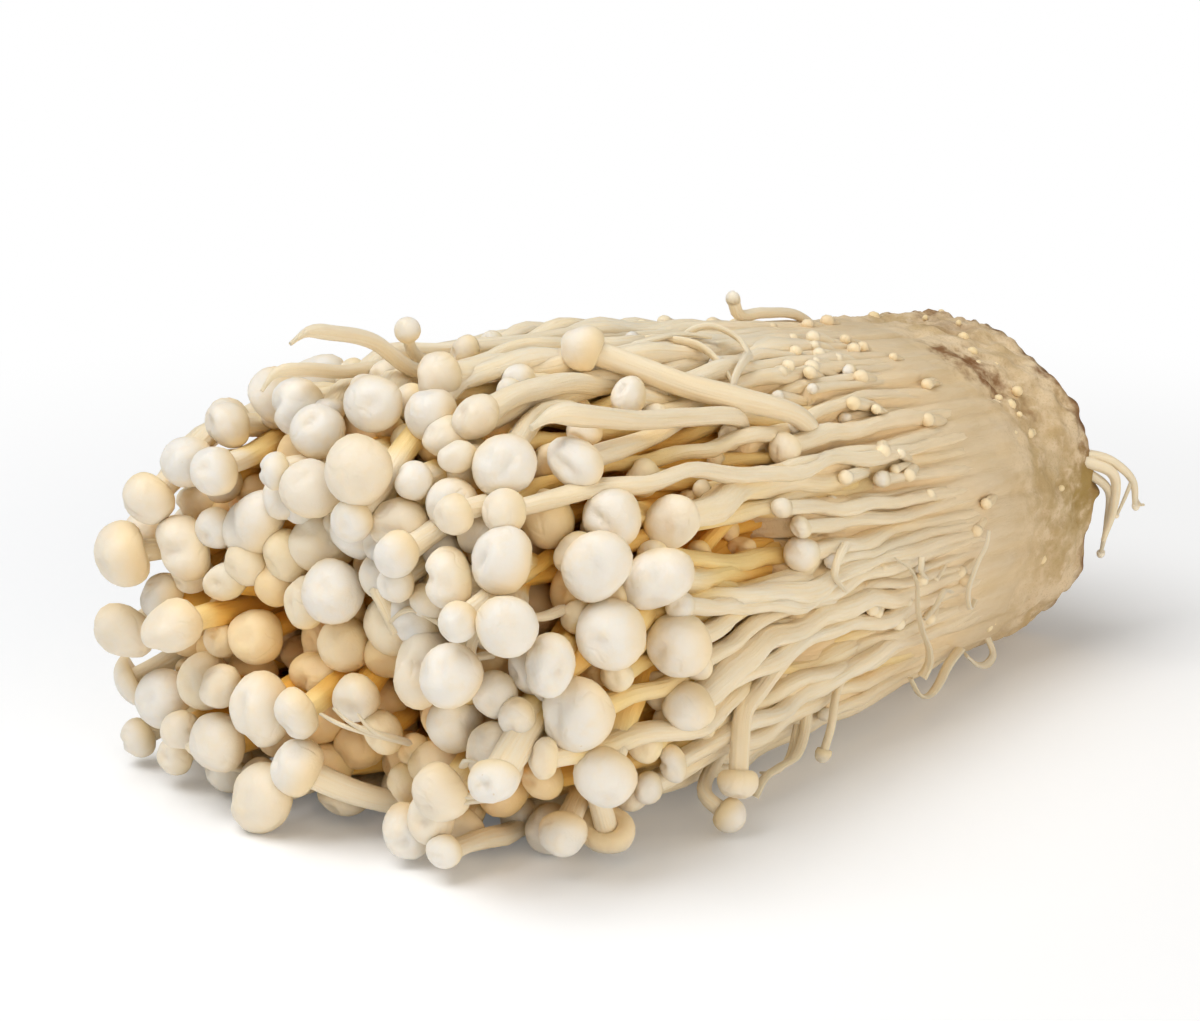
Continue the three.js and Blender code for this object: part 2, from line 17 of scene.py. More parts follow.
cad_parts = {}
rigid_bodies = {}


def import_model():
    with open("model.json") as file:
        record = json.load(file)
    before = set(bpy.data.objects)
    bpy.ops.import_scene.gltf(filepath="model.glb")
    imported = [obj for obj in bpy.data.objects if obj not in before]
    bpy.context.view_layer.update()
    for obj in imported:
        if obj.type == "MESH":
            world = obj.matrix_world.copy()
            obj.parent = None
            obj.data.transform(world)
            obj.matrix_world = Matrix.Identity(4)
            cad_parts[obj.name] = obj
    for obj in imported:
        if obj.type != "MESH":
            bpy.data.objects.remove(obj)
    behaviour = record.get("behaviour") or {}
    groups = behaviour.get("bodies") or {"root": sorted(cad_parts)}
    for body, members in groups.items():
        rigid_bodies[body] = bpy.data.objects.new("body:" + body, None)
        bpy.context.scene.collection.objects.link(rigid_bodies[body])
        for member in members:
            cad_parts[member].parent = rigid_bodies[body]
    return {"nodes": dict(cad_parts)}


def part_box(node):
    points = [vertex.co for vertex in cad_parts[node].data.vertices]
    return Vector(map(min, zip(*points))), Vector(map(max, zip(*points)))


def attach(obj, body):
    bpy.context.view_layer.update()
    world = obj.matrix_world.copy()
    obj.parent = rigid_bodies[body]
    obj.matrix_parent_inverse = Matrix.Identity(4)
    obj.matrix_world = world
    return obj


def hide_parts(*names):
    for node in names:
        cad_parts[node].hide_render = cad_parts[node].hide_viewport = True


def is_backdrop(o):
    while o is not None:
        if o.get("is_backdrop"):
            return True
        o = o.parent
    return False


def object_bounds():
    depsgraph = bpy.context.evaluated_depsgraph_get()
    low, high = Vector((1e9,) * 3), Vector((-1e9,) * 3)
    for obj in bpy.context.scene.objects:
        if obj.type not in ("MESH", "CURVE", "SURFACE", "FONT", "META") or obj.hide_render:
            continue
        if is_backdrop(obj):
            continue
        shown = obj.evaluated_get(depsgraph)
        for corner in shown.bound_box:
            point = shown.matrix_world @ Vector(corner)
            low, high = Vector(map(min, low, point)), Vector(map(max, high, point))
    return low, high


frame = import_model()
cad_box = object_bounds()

print("packed model:", len(frame["nodes"]), "nodes, box", [tuple(corner) for corner in cad_box])

# %% [markdown]
# ## Lengths along the bunch
#
# A grower measures a bunch from the cut root end, and so do the numbers below: "reach" is the
# distance from the cut, in millimetres. The root end lies at +X, so X falls as the reach grows.
# The joined feet of the tufts start 26.3 mm from the cut, which gives the place of reach 0.

# %% From reach to the frame
MM = 0.001
FEET_REACH = 26.3
MIDDLE_Y = 0.1  # the bunch's own middle plane, in the frame
CUT_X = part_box("tuft_core_01")[1][0] / MM + FEET_REACH


def to_frame(points):
    """(reach, y, z) in millimetres becomes a place in the frame, in metres."""
    reach, y, z = np.asarray(points, float).T
    return np.stack([CUT_X - reach, y + MIDDLE_Y, z], axis=1) * MM


print("the cut face lies at x =", round(CUT_X, 2), "mm")

# %% [markdown]
# ## The section of the bunch
#
# Cut across, the bunch is an oval that widens from the root to the caps and sags on the table, so
# its lower half is squarer than an ellipse. A superellipse says that in one formula, with a
# width, a height and a belly for each reach.

# %% The oval of each section
SECTION_REACH = (0, 26, 50, 80, 105, 125, 146)
SECTION_HALF_WIDTH = (30, 31.5, 34.5, 38, 42, 43, 38)
SECTION_HALF_HEIGHT = (25.5, 26.5, 28.5, 30.5, 32, 31, 26)
SECTION_BELLY = (0.3, 1.2, 1.5, 1.9, 1.6, 1.1, 0.8)
ROUND_EXPONENT = 2.1
BELLY_START = 0.6


def half_width(reach):
    """Half the width of the bunch at a reach."""
    return np.interp(reach, SECTION_REACH, SECTION_HALF_WIDTH)


def half_height(reach):
    """Half its height there."""
    return np.interp(reach, SECTION_REACH, SECTION_HALF_HEIGHT)


def section_point(reach, rho, angle):
    """(y, z) at a share rho of the way out, in the direction angle from +Y."""
    c, s = np.cos(angle), np.sin(angle)
    belly = np.interp(reach, SECTION_REACH, SECTION_BELLY) * np.minimum(1, -s / BELLY_START)
    n = ROUND_EXPONENT + np.where(s < 0, belly, 0)
    k = rho * (np.abs(c) ** n + np.abs(s) ** n) ** (-1 / n)
    return np.stack([half_width(reach) * k * c, half_height(reach) * (1 + k * s)], axis=-1)


def section_place(reach, p):
    """The direction of (y, z), its share of the way out, and how far out the edge is there."""
    height = half_height(reach)
    angle = np.arctan2(p[..., 1] / height - 1, p[..., 0] / half_width(reach))
    edge = section_point(reach, 1, angle)
    edge_distance = np.hypot(edge[..., 0], edge[..., 1] - height)
    rho = np.hypot(p[..., 0], p[..., 1] - height) / edge_distance
    return angle, rho, edge_distance


print("widest section:", 2 * max(SECTION_HALF_WIDTH), "mm across")

# %% [markdown]
# ## Growth
#
# The stems stand in the root mass like the seeds in a sunflower: each one a golden angle further
# round and a little further out. Chance gives each its length and its cap. The same seed and the
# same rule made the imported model, so every mushroom here stands where its solid does.

# %% Grow the mushrooms
MUSHROOMS, SEED = 150, 7
RING_NAMES, RING_TUFTS = ("core", "inner", "middle", "outer"), (3, 8, 12, 17)
STEM_STATIONS, LEAST_STRETCH = (29, 56, 85, 112), 10
STEM_FOOT_RADIUS, STEM_NECK_RADIUS = 1.4, 1.7
CAP_RADIUS, SHORT_CAP_RADIUS = (3.5, 5.0), (2.3, 3.6)
STEM_SHARE, CAP_SHARE = 0.95, 0.9
STEM_WAVE, WAVE_LENGTH = 2.4, (21, 17)
LONGEST_REACH, DOME_DROP, SLANT, STOOP, REACH_SPREAD = 146, 12, 10, 6, 19
SHORT_REACH, SHORT_FROM, SHORT_ABOVE, SHORT_CHANCE = (66, 108), 0.72, -0.4, (0.3, 0.55)
FULL_TURN = 2 * math.pi
GOLDEN_ANGLE = math.pi * (3 - math.sqrt(5))


def mix(low, high, t):
    """The value a share t of the way from low to high."""
    return low + (high - low) * t


def make_random(seed):
    """A repeatable random number from 0 to 1."""
    state = seed
    while True:
        state = (state * 1664525 + 1013904223) % 4294967296
        yield state / 4294967296


def stem_radius(reach):
    """The radius of an average stem at a reach."""
    ends = STEM_STATIONS[0], STEM_STATIONS[-1]
    return np.interp(reach, ends, (STEM_FOOT_RADIUS, STEM_NECK_RADIUS))


def dome_top(rho, across, upward):
    """How far the longest mushrooms reach at a place in the section."""
    return LONGEST_REACH - DOME_DROP * rho ** 3 + SLANT * across - STOOP * upward


def tuft_of(rho, angle):
    """The ring and the sector of the root mass in which a mushroom stands."""
    bounds = [0] + [math.sqrt(sum(RING_TUFTS[:k + 1]) / sum(RING_TUFTS)) for k in range(4)]
    ring = next((k for k in range(3) if rho < bounds[k + 1]), 3)
    step = FULL_TURN / RING_TUFTS[ring]
    sector = int(angle / step) % RING_TUFTS[ring]
    return dict(name=f"{RING_NAMES[ring]}_{sector + 1:02d}", inner=bounds[ring],
                outer=bounds[ring + 1], start=sector * step, end=(sector + 1) * step)


def mushroom(rho, angle, reach, cap, draws, girth=1.0, sway=STEM_WAVE):
    """A mushroom that stands at (rho, angle), as places along its stem and a cap radius."""
    tip = reach - cap
    stations = np.array([s for s in STEM_STATIONS if s < tip - LEAST_STRETCH] + [tip])
    wave = [(next(draws) - 0.5) * sway for _ in range(2)]
    phase = [next(draws) * FULL_TURN for _ in range(2)]
    share = np.full(len(stations), STEM_SHARE)
    share[-1] = CAP_SHARE
    home = section_point(stations, rho * share, angle)
    for axis in range(2):
        home[1:, axis] += wave[axis] * np.sin(stations[1:] / WAVE_LENGTH[axis] + phase[axis])
    return dict(cap=cap, tip=tip, stations=stations, home=home, place=home.copy(), girth=girth,
                fixed=False, tuft=tuft_of(rho, angle))


def grow_bunch():
    """The grown mushrooms, before they press on each other."""
    draws = make_random(SEED)
    crowd = []
    for i in range(MUSHROOMS):
        rho = math.sqrt((i + 0.5) / MUSHROOMS)
        angle = (i * GOLDEN_ANGLE) % FULL_TURN
        across, upward = rho * math.cos(angle), rho * math.sin(angle)
        short = (rho > SHORT_FROM and upward > SHORT_ABOVE
                 and next(draws) < mix(*SHORT_CHANCE, (1 - across) / 2))
        chance, size = next(draws), next(draws)
        top = dome_top(rho, across, upward)
        reach = mix(*SHORT_REACH, chance) if short else top - REACH_SPREAD * chance
        cap = mix(*(SHORT_CAP_RADIUS if short else CAP_RADIUS), size)
        crowd.append(mushroom(rho, angle, reach, cap, draws))
    return crowd


bunch = grow_bunch()
print(len(bunch), "mushrooms, longest reach", round(max(m["tip"] + m["cap"] for m in bunch), 1))

# %% [markdown]
# ## Strays
#
# Some mushrooms have worked loose: one hangs over the front, one is folded back at the side, and
# a few stick out at the top and at the far side. They can be told apart, so each one is drawn by
# its own line of points, in reach, y and z. Bare stems have lost their cap.

# %% The strays and the places they take
STRAYS = (
    ("hanging_mushroom_front", 3.5, 1.55, ((103, -17, 29), (112, -23, 25.5), (119, -28.5, 21),
     (121, -33, 16.5), (119.5, -34.5, 10.5), (116.5, -33.5, 4.2))),
    ("folded_mushroom_side", 2.75, 1.4, ((66, -31, 24), (79, -33.5, 20.5), (89, -36.5, 18),
     (94.3, -38, 16), (96.5, -39.5, 12.8), (98.5, -41, 8))),
    ("low_mushroom_side", 2.5, 1.1, ((86, -30, 11), (94, -33.5, 8.5), (100, -36.5, 5.2),
     (99, -40, 3))),
    ("thin_mushroom_side", 1.3, 0.6, ((62, -30, 14), (70, -34.3, 10.8), (72, -35.4, 7.6),
     (73.5, -35.2, 3.6))),
    ("left_mushroom_upper", 3.5, 1.7, ((121, 30.5, 20), (129, 34.5, 18), (138.5, 40.5, 12.5))),
    ("left_mushroom_lower", 2.9, 1.4, ((118, 33.5, 9), (129, 37, 6.5), (138.7, 39.3, 4.2))),
    ("left_mushroom_front", 2.9, 1.5, ((120, 24, 8), (130, 26.5, 6), (140.5, 28.5, 5))),
    ("front_mushroom_large", 4.6, 1.75, ((108, 8, 4.6), (124, 8, 4.4), (143, 7, 5.2))),
    ("front_mushroom_long", 4.0, 1.8, ((106, -15, 5.5), (119, -12.5, 4.2), (129, -8.5, 4.6),
     (135.5, -4, 7), (141.5, 0.6, 11))),
    ("top_mushroom_small", 1.9, 0.8, ((104, 9.5, 58.5), (111, 8, 61.4), (113.5, 7, 63.4),
     (115, 6, 66.4))),
    ("top_mushroom_large", 3.35, 1.85, ((70, -26, 51.5), (80, -23.5, 55.4), (86, -20.5, 57.6),
     (92, -15, 60.8), (96.8, -10, 63.4))),
    ("pin_mushroom_top", 1.2, 0.9, ((33, 5, 54.2), (43.5, 4.2, 56.8), (49, 4, 57.8),
     (50, 4, 60.2))),
    ("bare_stem_top_long", 0, 1.1, ((106, 2.5, 60), (115, 4.5, 61), (122.5, 5.2, 66.4),
     (129, 5, 68.6), (134.5, 5, 69.6), (137, 5, 68.6))),
    ("bare_stem_top_short", 0, 1.0, ((110, 12, 59), (124, 10.5, 61.4), (131, 10, 63),
     (136, 10, 63.2), (138, 10, 61.4))),
    ("broken_stem_side", 0, 1.55, ((82, -24.5, 53.4), (92, -25.5, 55.4), (104, -26.5, 57.6),
     (113, -26.6, 60), (119, -26, 61.2), (123, -26, 60.2))),
)
BALL_STEP, BALL_RADIUS, END_BALL_RADIUS = 1.6, 1.12, 1.05


def stray_balls():
    """Balls (reach, y, z, radius) along each stray, which the crowd makes room for."""
    balls = []
    for _, cap, stem, line in STRAYS:
        for start, end in zip(line, line[1:]):
            start, end = np.array(start, float), np.array(end, float)
            steps = math.ceil(np.linalg.norm(end - start) / (stem * BALL_STEP))
            balls += [(*mix(start, end, i / steps), stem * BALL_RADIUS) for i in range(steps)]
        balls.append((*line[-1], max(cap, stem) * END_BALL_RADIUS))
    return np.array(balls)


balls_of_strays = stray_balls()
print(len(STRAYS), "strays, kept clear by", len(balls_of_strays), "balls")

# %% [markdown]
# ## Settling
#
# Stems and caps press each other aside until nothing overlaps. Each round finds every place where
# two of them are too close and moves both apart by half of what is missing. Who can meet whom
# depends only on the reaches, so the pairs are listed once, and numpy then treats them all
# together.

# %% List who can meet whom
BESIDE_CAP = 0.4  # in cap radii: so near its tip, a stem leaves the pushing to its own cap
STEM_CLEARANCE, CAP_CLEARANCE = 0.55, 0.4


def near(a, b, within):
    """Whether two mushrooms stand close enough together at the root to meet at all."""
    return within is None or np.hypot(*(a["home"][0] - b["home"][0])) < within


def stem_meetings(crowd, within):
    """Every stretch that two stems share: the shorter and the longer mushroom, the stretch's
    number, its share of the longer one's stretch, and the reaches where it starts and ends."""
    rows = []
    for i, a in enumerate(crowd):
        for j in range(i + 1, len(crowd)):
            b = crowd[j]
            if a["fixed"] and b["fixed"] or not near(a, b, within):
                continue
            short, long = (i, j) if a["tip"] < b["tip"] else (j, i)
            ends, longer = crowd[short]["stations"], crowd[long]["stations"]
            rows += [(short, long, k, min(1, (end - start) / (longer[k + 1] - start)), start, end)
                     for k, (start, end) in enumerate(zip(ends, ends[1:]))]
    return np.array(rows).T


def ball_list(crowd, strays):
    """Reach and radius of every cap and every ball of a stray, and 1 for what can move."""
    reach = np.concatenate([[m["tip"] for m in crowd], strays[:, 0]])
    radius = np.concatenate([[m["cap"] for m in crowd], strays[:, 3]])
    mobile = np.concatenate([[0.0 if m["fixed"] else 1.0 for m in crowd], np.zeros(len(strays))])
    return reach, radius, mobile


def ball_meetings(crowd, reach, radius, mobile, within):
    """What balls can touch: (ball, stem, stretch, share along it), and pairs of balls."""
    on_stems, pairs = [], []
    for j, m in enumerate(crowd):
        crossed = (reach > m["stations"][0]) & (reach < m["tip"] - BESIDE_CAP * m["cap"])
        for i in np.nonzero(crossed)[0]:
            owner = crowd[i] if i < len(crowd) else m
            if i == j or mobile[i] + mobile[j] == 0 or not near(owner, m, within):
                continue
            k = min(np.searchsorted(m["stations"], reach[i]), len(m["stations"]) - 1) - 1
            t = (reach[i] - m["stations"][k]) / (m["stations"][k + 1] - m["stations"][k])
            on_stems.append((i, j, k, t))
        close = np.abs(reach - m["tip"]) < radius + m["cap"] + CAP_CLEARANCE
        pairs += [(j, i) for i in np.nonzero(close)[0] if i > j and mobile[i] + mobile[j] > 0]
    return np.array(on_stems).T, np.array(pairs, int).T


print("a cap keeps", CAP_CLEARANCE, "mm and a stem", STEM_CLEARANCE, "mm to its neighbours")

# %% Push the crowd apart
EASE, HOME_PULL = 0.45, 0.06
FOOT_MARGIN = 0.55
SPARE_REACH = 100.0  # fills the rows of mushrooms that have fewer stations than the others
LEAST_DISTANCE, LEAST_SQUARE = 1e-6, 1e-9  # keep a division from meeting nothing


def shortfall(a, b, need):
    """How far b has to move across the bunch, away from a, to be `need` from it."""
    gap = b - a
    distance = np.maximum(np.hypot(gap[:, 0], gap[:, 1]), LEAST_DISTANCE)
    return gap * (np.maximum(0, need - distance) / distance)[:, None]


def hold_feet(crowd, place):
    """Keeps each foot inside the wedge of its own tuft."""
    reach = STEM_STATIONS[0]
    inner, outer, start, end = [np.array([m["tuft"][key] for m in crowd])
                                for key in ("inner", "outer", "start", "end")]
    angle, rho, _ = section_place(reach, place[:, 0])
    margin = (STEM_FOOT_RADIUS + FOOT_MARGIN) / half_height(reach)
    rho = np.clip(rho, inner + margin, outer - margin)
    middle = (start + end) / 2
    half = np.maximum(0, (end - start) / 2 - margin / rho)
    turn = angle - middle - FULL_TURN * np.round((angle - middle) / FULL_TURN)
    return section_point(reach, rho, middle + np.clip(turn, -half, half))


def settle(crowd, strays, rounds, home_rounds, clearance, held=0, loose=0, within=None):
    """Moves the crowd's places until its stems, caps and the strays stand clear of each other.
    The pull towards home fades over home_rounds. The first `held` rounds keep everything inside
    the section, and after them it may stand out by `loose` mm."""
    size, depth = len(crowd), max(len(m["stations"]) for m in crowd)
    last = np.array([len(m["stations"]) - 1 for m in crowd])
    place, reach_at = np.zeros((size, depth, 2)), np.full((size, depth), SPARE_REACH)
    used = np.zeros((size, depth), bool)
    for i, m in enumerate(crowd):
        place[i, :last[i] + 1], reach_at[i, :last[i] + 1] = m["place"], m["stations"]
        used[i, :last[i] + 1] = True
    home = place.copy()
    girth = np.array([m["girth"] for m in crowd])
    free = np.array([not m["fixed"] for m in crowd])
    radius_at = stem_radius(reach_at) * girth[:, None]
    radius_at[np.arange(size), last] = [m["cap"] for m in crowd]

    short, long, k, part, start, end = stem_meetings(crowd, within)
    short, long, k = short.astype(int), long.astype(int), k.astype(int)
    reach, radius, mobile = ball_list(crowd, strays)
    (ball, stem, ks, t_ball), (one, two) = ball_meetings(crowd, reach, radius, mobile, within)
    ball, stem, ks = ball.astype(int), stem.astype(int), ks.astype(int)
    stem_share = (mobile[stem] / (mobile[ball] + mobile[stem]))[:, None]
    spread_share = stem_share / (t_ball ** 2 + (1 - t_ball) ** 2)[:, None]
    need_ball = radius[ball] + stem_radius(reach[ball]) * girth[stem] + CAP_CLEARANCE
    need_pair = np.sqrt(np.maximum(0, (radius[one] + radius[two] + CAP_CLEARANCE) ** 2
                                   - (reach[one] - reach[two]) ** 2))
    short_share = (mobile[short] / (mobile[short] + mobile[long]))[:, None]
    two_share = (mobile[two] / (mobile[one] + mobile[two]))[:, None]

    for step in range(rounds):
        rows, moves = [], []

        def push(who, where, move):
            rows.append(who * depth + where)
            moves.append(move)

        p, q, u = place[short, k], place[short, k + 1], place[long, k]
        v = mix(u, place[long, k + 1], part[:, None])
        first, change = u - p, (v - q) - (u - p)
        t = np.clip(-(first * change).sum(1) / ((change ** 2).sum(1) + LEAST_SQUARE), 0, 1)
        need = stem_radius(mix(start, end, t)) * (girth[short] + girth[long]) + clearance
        t, share = t[:, None], part[:, None]
        move = shortfall(mix(p, q, t), mix(u, v, t), need)
        push(short, k, -move * (1 - t) * short_share)
        push(short, k + 1, -move * t * short_share)
        push(long, k, move * (1 - t * share) * (1 - short_share))
        push(long, k + 1, move * t * share * (1 - short_share))

        centres = np.concatenate([place[np.arange(size), last], strays[:, 1:3]])
        beside = mix(place[stem, ks], place[stem, ks + 1], t_ball[:, None])
        move = shortfall(centres[ball], beside, need_ball)
        push(stem, ks, move * (1 - t_ball)[:, None] * spread_share)
        push(stem, ks + 1, move * t_ball[:, None] * spread_share)
        mine = ball < size
        push(ball[mine], last[ball[mine]], -(move * (1 - stem_share))[mine])

        move = shortfall(centres[one], centres[two], need_pair)
        mine = two < size
        push(one, last[one], -move * (1 - two_share))
        push(two[mine], last[two[mine]], (move * two_share)[mine])

        rows, moves = np.concatenate(rows), np.concatenate(moves)
        total = np.stack([np.bincount(rows, moves[:, a], size * depth) for a in range(2)], axis=1)
        homesick = HOME_PULL * max(0, 1 - step / home_rounds)
        moved = place + total.reshape(place.shape) * EASE + (home - place) * homesick
        angle, rho, edge = section_place(reach_at, moved)
        most = 1 - (radius_at - (0 if step < held else loose)) / edge
        outside = (rho > most)[..., None]
        moved = np.where(outside, section_point(reach_at, most, angle), moved)
        moved[..., 1] = np.maximum(moved[..., 1], radius_at)
        moved[:, 0] = hold_feet(crowd, moved)
        place = np.where((used & free[:, None])[..., None], moved, place)
    for i, m in enumerate(crowd):
        m["place"] = place[i, :last[i] + 1]


settle(bunch, balls_of_strays, rounds=540, home_rounds=386, clearance=STEM_CLEARANCE, held=230,
       loose=3)
print("settled: widest y", round(max(abs(m["place"][:, 0]).max() for m in bunch), 1), "mm")

# %% [markdown]
# ## Crowded caps and the late mushrooms
#
# A cap that stays pressed between its neighbours grows smaller. Between the grown mushrooms
# stand the late ones, whose stems are thinner and mostly shorter: small caps deep in the face, a
# dense row of them up the flanks, pin heads near the root, and some of nearly full size that fill
# the face. They push each other about as well, but the room that is left is too small for all of
# them, so many of their stems and caps still run into a neighbour's.

# %% Fit the caps, then grow the late mushrooms
ROOM_CLEARANCE, SMALLEST_CAP = 0.95, 2
MAIN_CAP_SHARE = 0.95  # leaves the late caps a little room beside the grown ones
LATE_KINDS = (  # how many, rho, lowest part, reach, cap radius, stem girth
    (130, (0.1, 0.97), -0.95, (106, 142), (2.0, 3.7), 0.85),
    (190, (0.8, 1.0), -0.75, (56, 122), (0.9, 3.0), 0.9),
    (120, (0.6, 1.0), -0.9, (40, 60), (0.8, 1.4), 0.75),
    (70, (0.25, 0.95), -0.95, (108, 140), (2.6, 4.3), 0.9),
)
LATE_SEED, LATE_SWAY = 31, 3.0
LATE_CAP_LEAST, LATE_CAP_KEPT = 0.4, 0.8  # shares of a cap's size, by chance and when crowded
LATE_CLEARANCE, LATE_NEIGHBOURS = -0.15, 16  # a slight overlap is allowed; only near feet meet


def room_for_cap(m, crowd, strays):
    """How large a crowded cap can grow between its neighbours."""
    here = np.array([m["tip"], *m["place"][-1]])
    rooms = []
    for other in crowd:
        if other is m:
            continue
        tops = np.array([other["tip"], *other["place"][-1]])
        overlap = m["cap"] + other["cap"] + ROOM_CLEARANCE - np.linalg.norm(tops - here)
        rooms.append(m["cap"] + ROOM_CLEARANCE - overlap * 0.5)
        if other["stations"][0] < m["tip"] < other["tip"] - BESIDE_CAP * other["cap"]:
            y, z = [np.interp(m["tip"], other["stations"], other["place"][:, a]) for a in range(2)]
            rooms.append(math.hypot(y - here[1], z - here[2]) - stem_radius(m["tip"]))
    apart = np.linalg.norm(strays[:, :3] - here, axis=1)
    rooms.append((apart - strays[:, 3]).min())
    return float(np.clip(min(rooms) - ROOM_CLEARANCE, min(SMALLEST_CAP, m["cap"]), m["cap"]))


def grow_late():
    """The late mushrooms, one kind after the other."""
    draws = make_random(LATE_SEED)
    late = []
    for count, rhos, lowest, reaches, caps, girth in LATE_KINDS:
        made = 0
        while made < count:
            rho = math.sqrt(mix(rhos[0] ** 2, rhos[1] ** 2, next(draws)))
            angle = next(draws) * FULL_TURN
            if rho * math.sin(angle) < lowest:
                continue
            grown = next(draws)
            cap = mix(*caps, grown * mix(LATE_CAP_LEAST, 1, next(draws)))
            late.append(mushroom(rho, angle, mix(*reaches, grown), cap, draws, girth, LATE_SWAY))
            made += 1
    return late


rooms = [room_for_cap(m, bunch, balls_of_strays) for m in bunch]
for m, room in zip(bunch, rooms):
    m["full_cap"], m["cap"], m["fixed"] = m["cap"], room * MAIN_CAP_SHARE, True
late_bunch = grow_late()
settle(bunch + late_bunch, balls_of_strays, rounds=110, home_rounds=110,
       clearance=LATE_CLEARANCE, within=LATE_NEIGHBOURS)
rooms = [room_for_cap(m, bunch + late_bunch, balls_of_strays) for m in late_bunch]
for m, room in zip(late_bunch, rooms):
    m["full_cap"], m["cap"] = m["cap"], max(room, LATE_CAP_KEPT * m["cap"])
print(len(late_bunch), "late mushrooms, caps", round(min(rooms), 2), "to", round(max(rooms), 2))

# %% [markdown]
# ## Smooth stems
#
# The settled places are a few points along each stem. A real stem bends smoothly through them,
# wanders a little between them and changes its girth. Cubic pieces between the points give the
# bends, and a few sine waves give the rest.

# %% Lines of the stems
LINE_STEP, LEAST_POINTS = 2.2, 8
BURIED_REACH, BARE_REACH = 18, 38  # the stems start inside the root mass and come out of it here
BURIED_DEPTH = 1.4
FUSED_REACH, FUSED_STATIONS = 44, (0, 18, 30)  # nearer the root, stems keep their direction
FUSED_RHO, FUSED_SPREAD = 0.95, 0.4
LEVEL_RHO, LEVEL_REACH = (0.6, 0.8), (16, 56)  # which stems draw level there, and how far up
WANDER, WANDER_LENGTHS = 0.7, ((24, 40), (11, 18))
CALM_FOOT, CALM_NECK = (44, 66), (14, 2)  # a stem wanders between its foot and its neck
STEM_FILL, SWELL, SWELL_LENGTHS = 1.1, 0.07, (18, 34)
GIRTHS, GIRTH_REACH = (0.86, 1.28), (36, 60)  # shares of the girth, which differ from there on
NECK_SWELL, NECK_LENGTH = 0.1, 18
SHADE_DEPTH, SHADE_FROM_TOP = (1.2, 11), 0.1  # mm below the surface where the light fails


def smooth_line(knots, values, at, start_slope=None):
    """Cubic pieces through the values at the knots."""
    slopes = np.gradient(values, knots, axis=0)
    if start_slope is not None:
        slopes[0] = start_slope
    k = np.clip(np.searchsorted(knots, at, side="right") - 1, 0, len(knots) - 2)
    width = (knots[k + 1] - knots[k])[:, None]
    t = (at - knots[k])[:, None] / width
    return ((2 * t ** 3 - 3 * t ** 2 + 1) * values[k]
            + (t ** 3 - 2 * t ** 2 + t) * width * slopes[k]
            + (3 * t ** 2 - 2 * t ** 3) * values[k + 1]
            + (t ** 3 - t ** 2) * width * slopes[k + 1])


def ramp(x, low, high):
    """0 below low, 1 above high, and smooth between them."""
    t = np.clip((x - low) / (high - low), 0, 1)
    return t * t * (3 - 2 * t)


def painted_shade_share(places):
    """Painted shade at places (reach, y, z): 0 outside the bunch and 1 deep inside it."""
    reach, p = places[:, 0], places[:, 1:]
    angle, rho, edge = section_place(reach, p)
    dome = dome_top(rho, rho * np.cos(angle), rho * np.sin(angle)) - REACH_SPREAD * SHADE_FROM_TOP
    return ramp(np.minimum(edge * (1 - rho), dome - reach), *SHADE_DEPTH)


def stem_places(m, reach):
    """(y, z) of a stem at each reach. Near the root the outer ones draw level and run straight."""
    at = np.array([np.interp(FUSED_REACH, m["stations"], m["place"][:, axis]) for axis in range(2)])
    angle, rho, _ = section_place(FUSED_REACH, at)
    pulled = ramp(rho, *LEVEL_RHO)
    feet = []
    for station in FUSED_STATIONS:
        spread = mix(1, mix(FUSED_SPREAD, 1, ramp(station, *LEVEL_REACH)), pulled)
        feet.append(section_point(station, FUSED_RHO - (FUSED_RHO - rho) * spread, angle))
    knots = np.concatenate([FUSED_STATIONS, m["stations"][1:]])
    return smooth_line(knots, np.concatenate([feet, m["place"][1:]]), reach)


def stem_line(m, rng):
    """Points (reach, y, z) of a stem and its radius at each."""
    tip = m["tip"]
    reach = np.linspace(BURIED_REACH, tip, max(LEAST_POINTS, int((tip - BURIED_REACH) / LINE_STEP)))
    line = stem_places(m, reach)
    calm = ramp(reach, *CALM_FOOT) * (1 - ramp(reach, tip - CALM_NECK[0], tip - CALM_NECK[1]))
    for axis in range(2):
        waves = rng.uniform(0.5, 1, 2) * WANDER
        lengths = [rng.uniform(*span) for span in WANDER_LENGTHS]
        phases = rng.uniform(0, FULL_TURN, 2)
        for wave, length, phase in zip(waves * (1, 0.5), lengths, phases):
            line[:, axis] += calm * wave * np.sin(FULL_TURN * reach / length + phase)
    swell = SWELL * np.sin(FULL_TURN * reach / rng.uniform(*SWELL_LENGTHS)
                           + rng.uniform(0, FULL_TURN))
    radius = stem_radius(reach) * m["girth"] * (STEM_FILL + swell)
    radius *= mix(1, rng.uniform(*GIRTHS), ramp(reach, *GIRTH_REACH))
    radius *= 1 + NECK_SWELL * ramp(reach, tip - NECK_LENGTH, tip)
    middle = np.column_stack([np.zeros(len(reach)), half_height(reach)])
    inward = middle - line
    inward /= np.maximum(np.linalg.norm(inward, axis=1), BURIED_DEPTH)[:, None]
    line += inward * (BURIED_DEPTH * (1 - ramp(reach, BURIED_REACH, BARE_REACH)))[:, None]
    line[:, 1] = np.maximum(line[:, 1], radius)
    return np.column_stack([reach, line]), radius


print("a long stem has", int((LONGEST_REACH - BURIED_REACH) / LINE_STEP), "points")

# %% [markdown]
# ## Cap shapes
#
# Few enoki caps are true balls. Some are nearly round, and others are buttons with the rim rolled
# in round the stem, eggs, flat buns or, seldom, a little hat whose underside shows. Most have a
# dent or a crease where a neighbour pressed on them. So a small set of moulds is turned like pots,
# bent out of round and dented, and every mushroom then wears one of them.

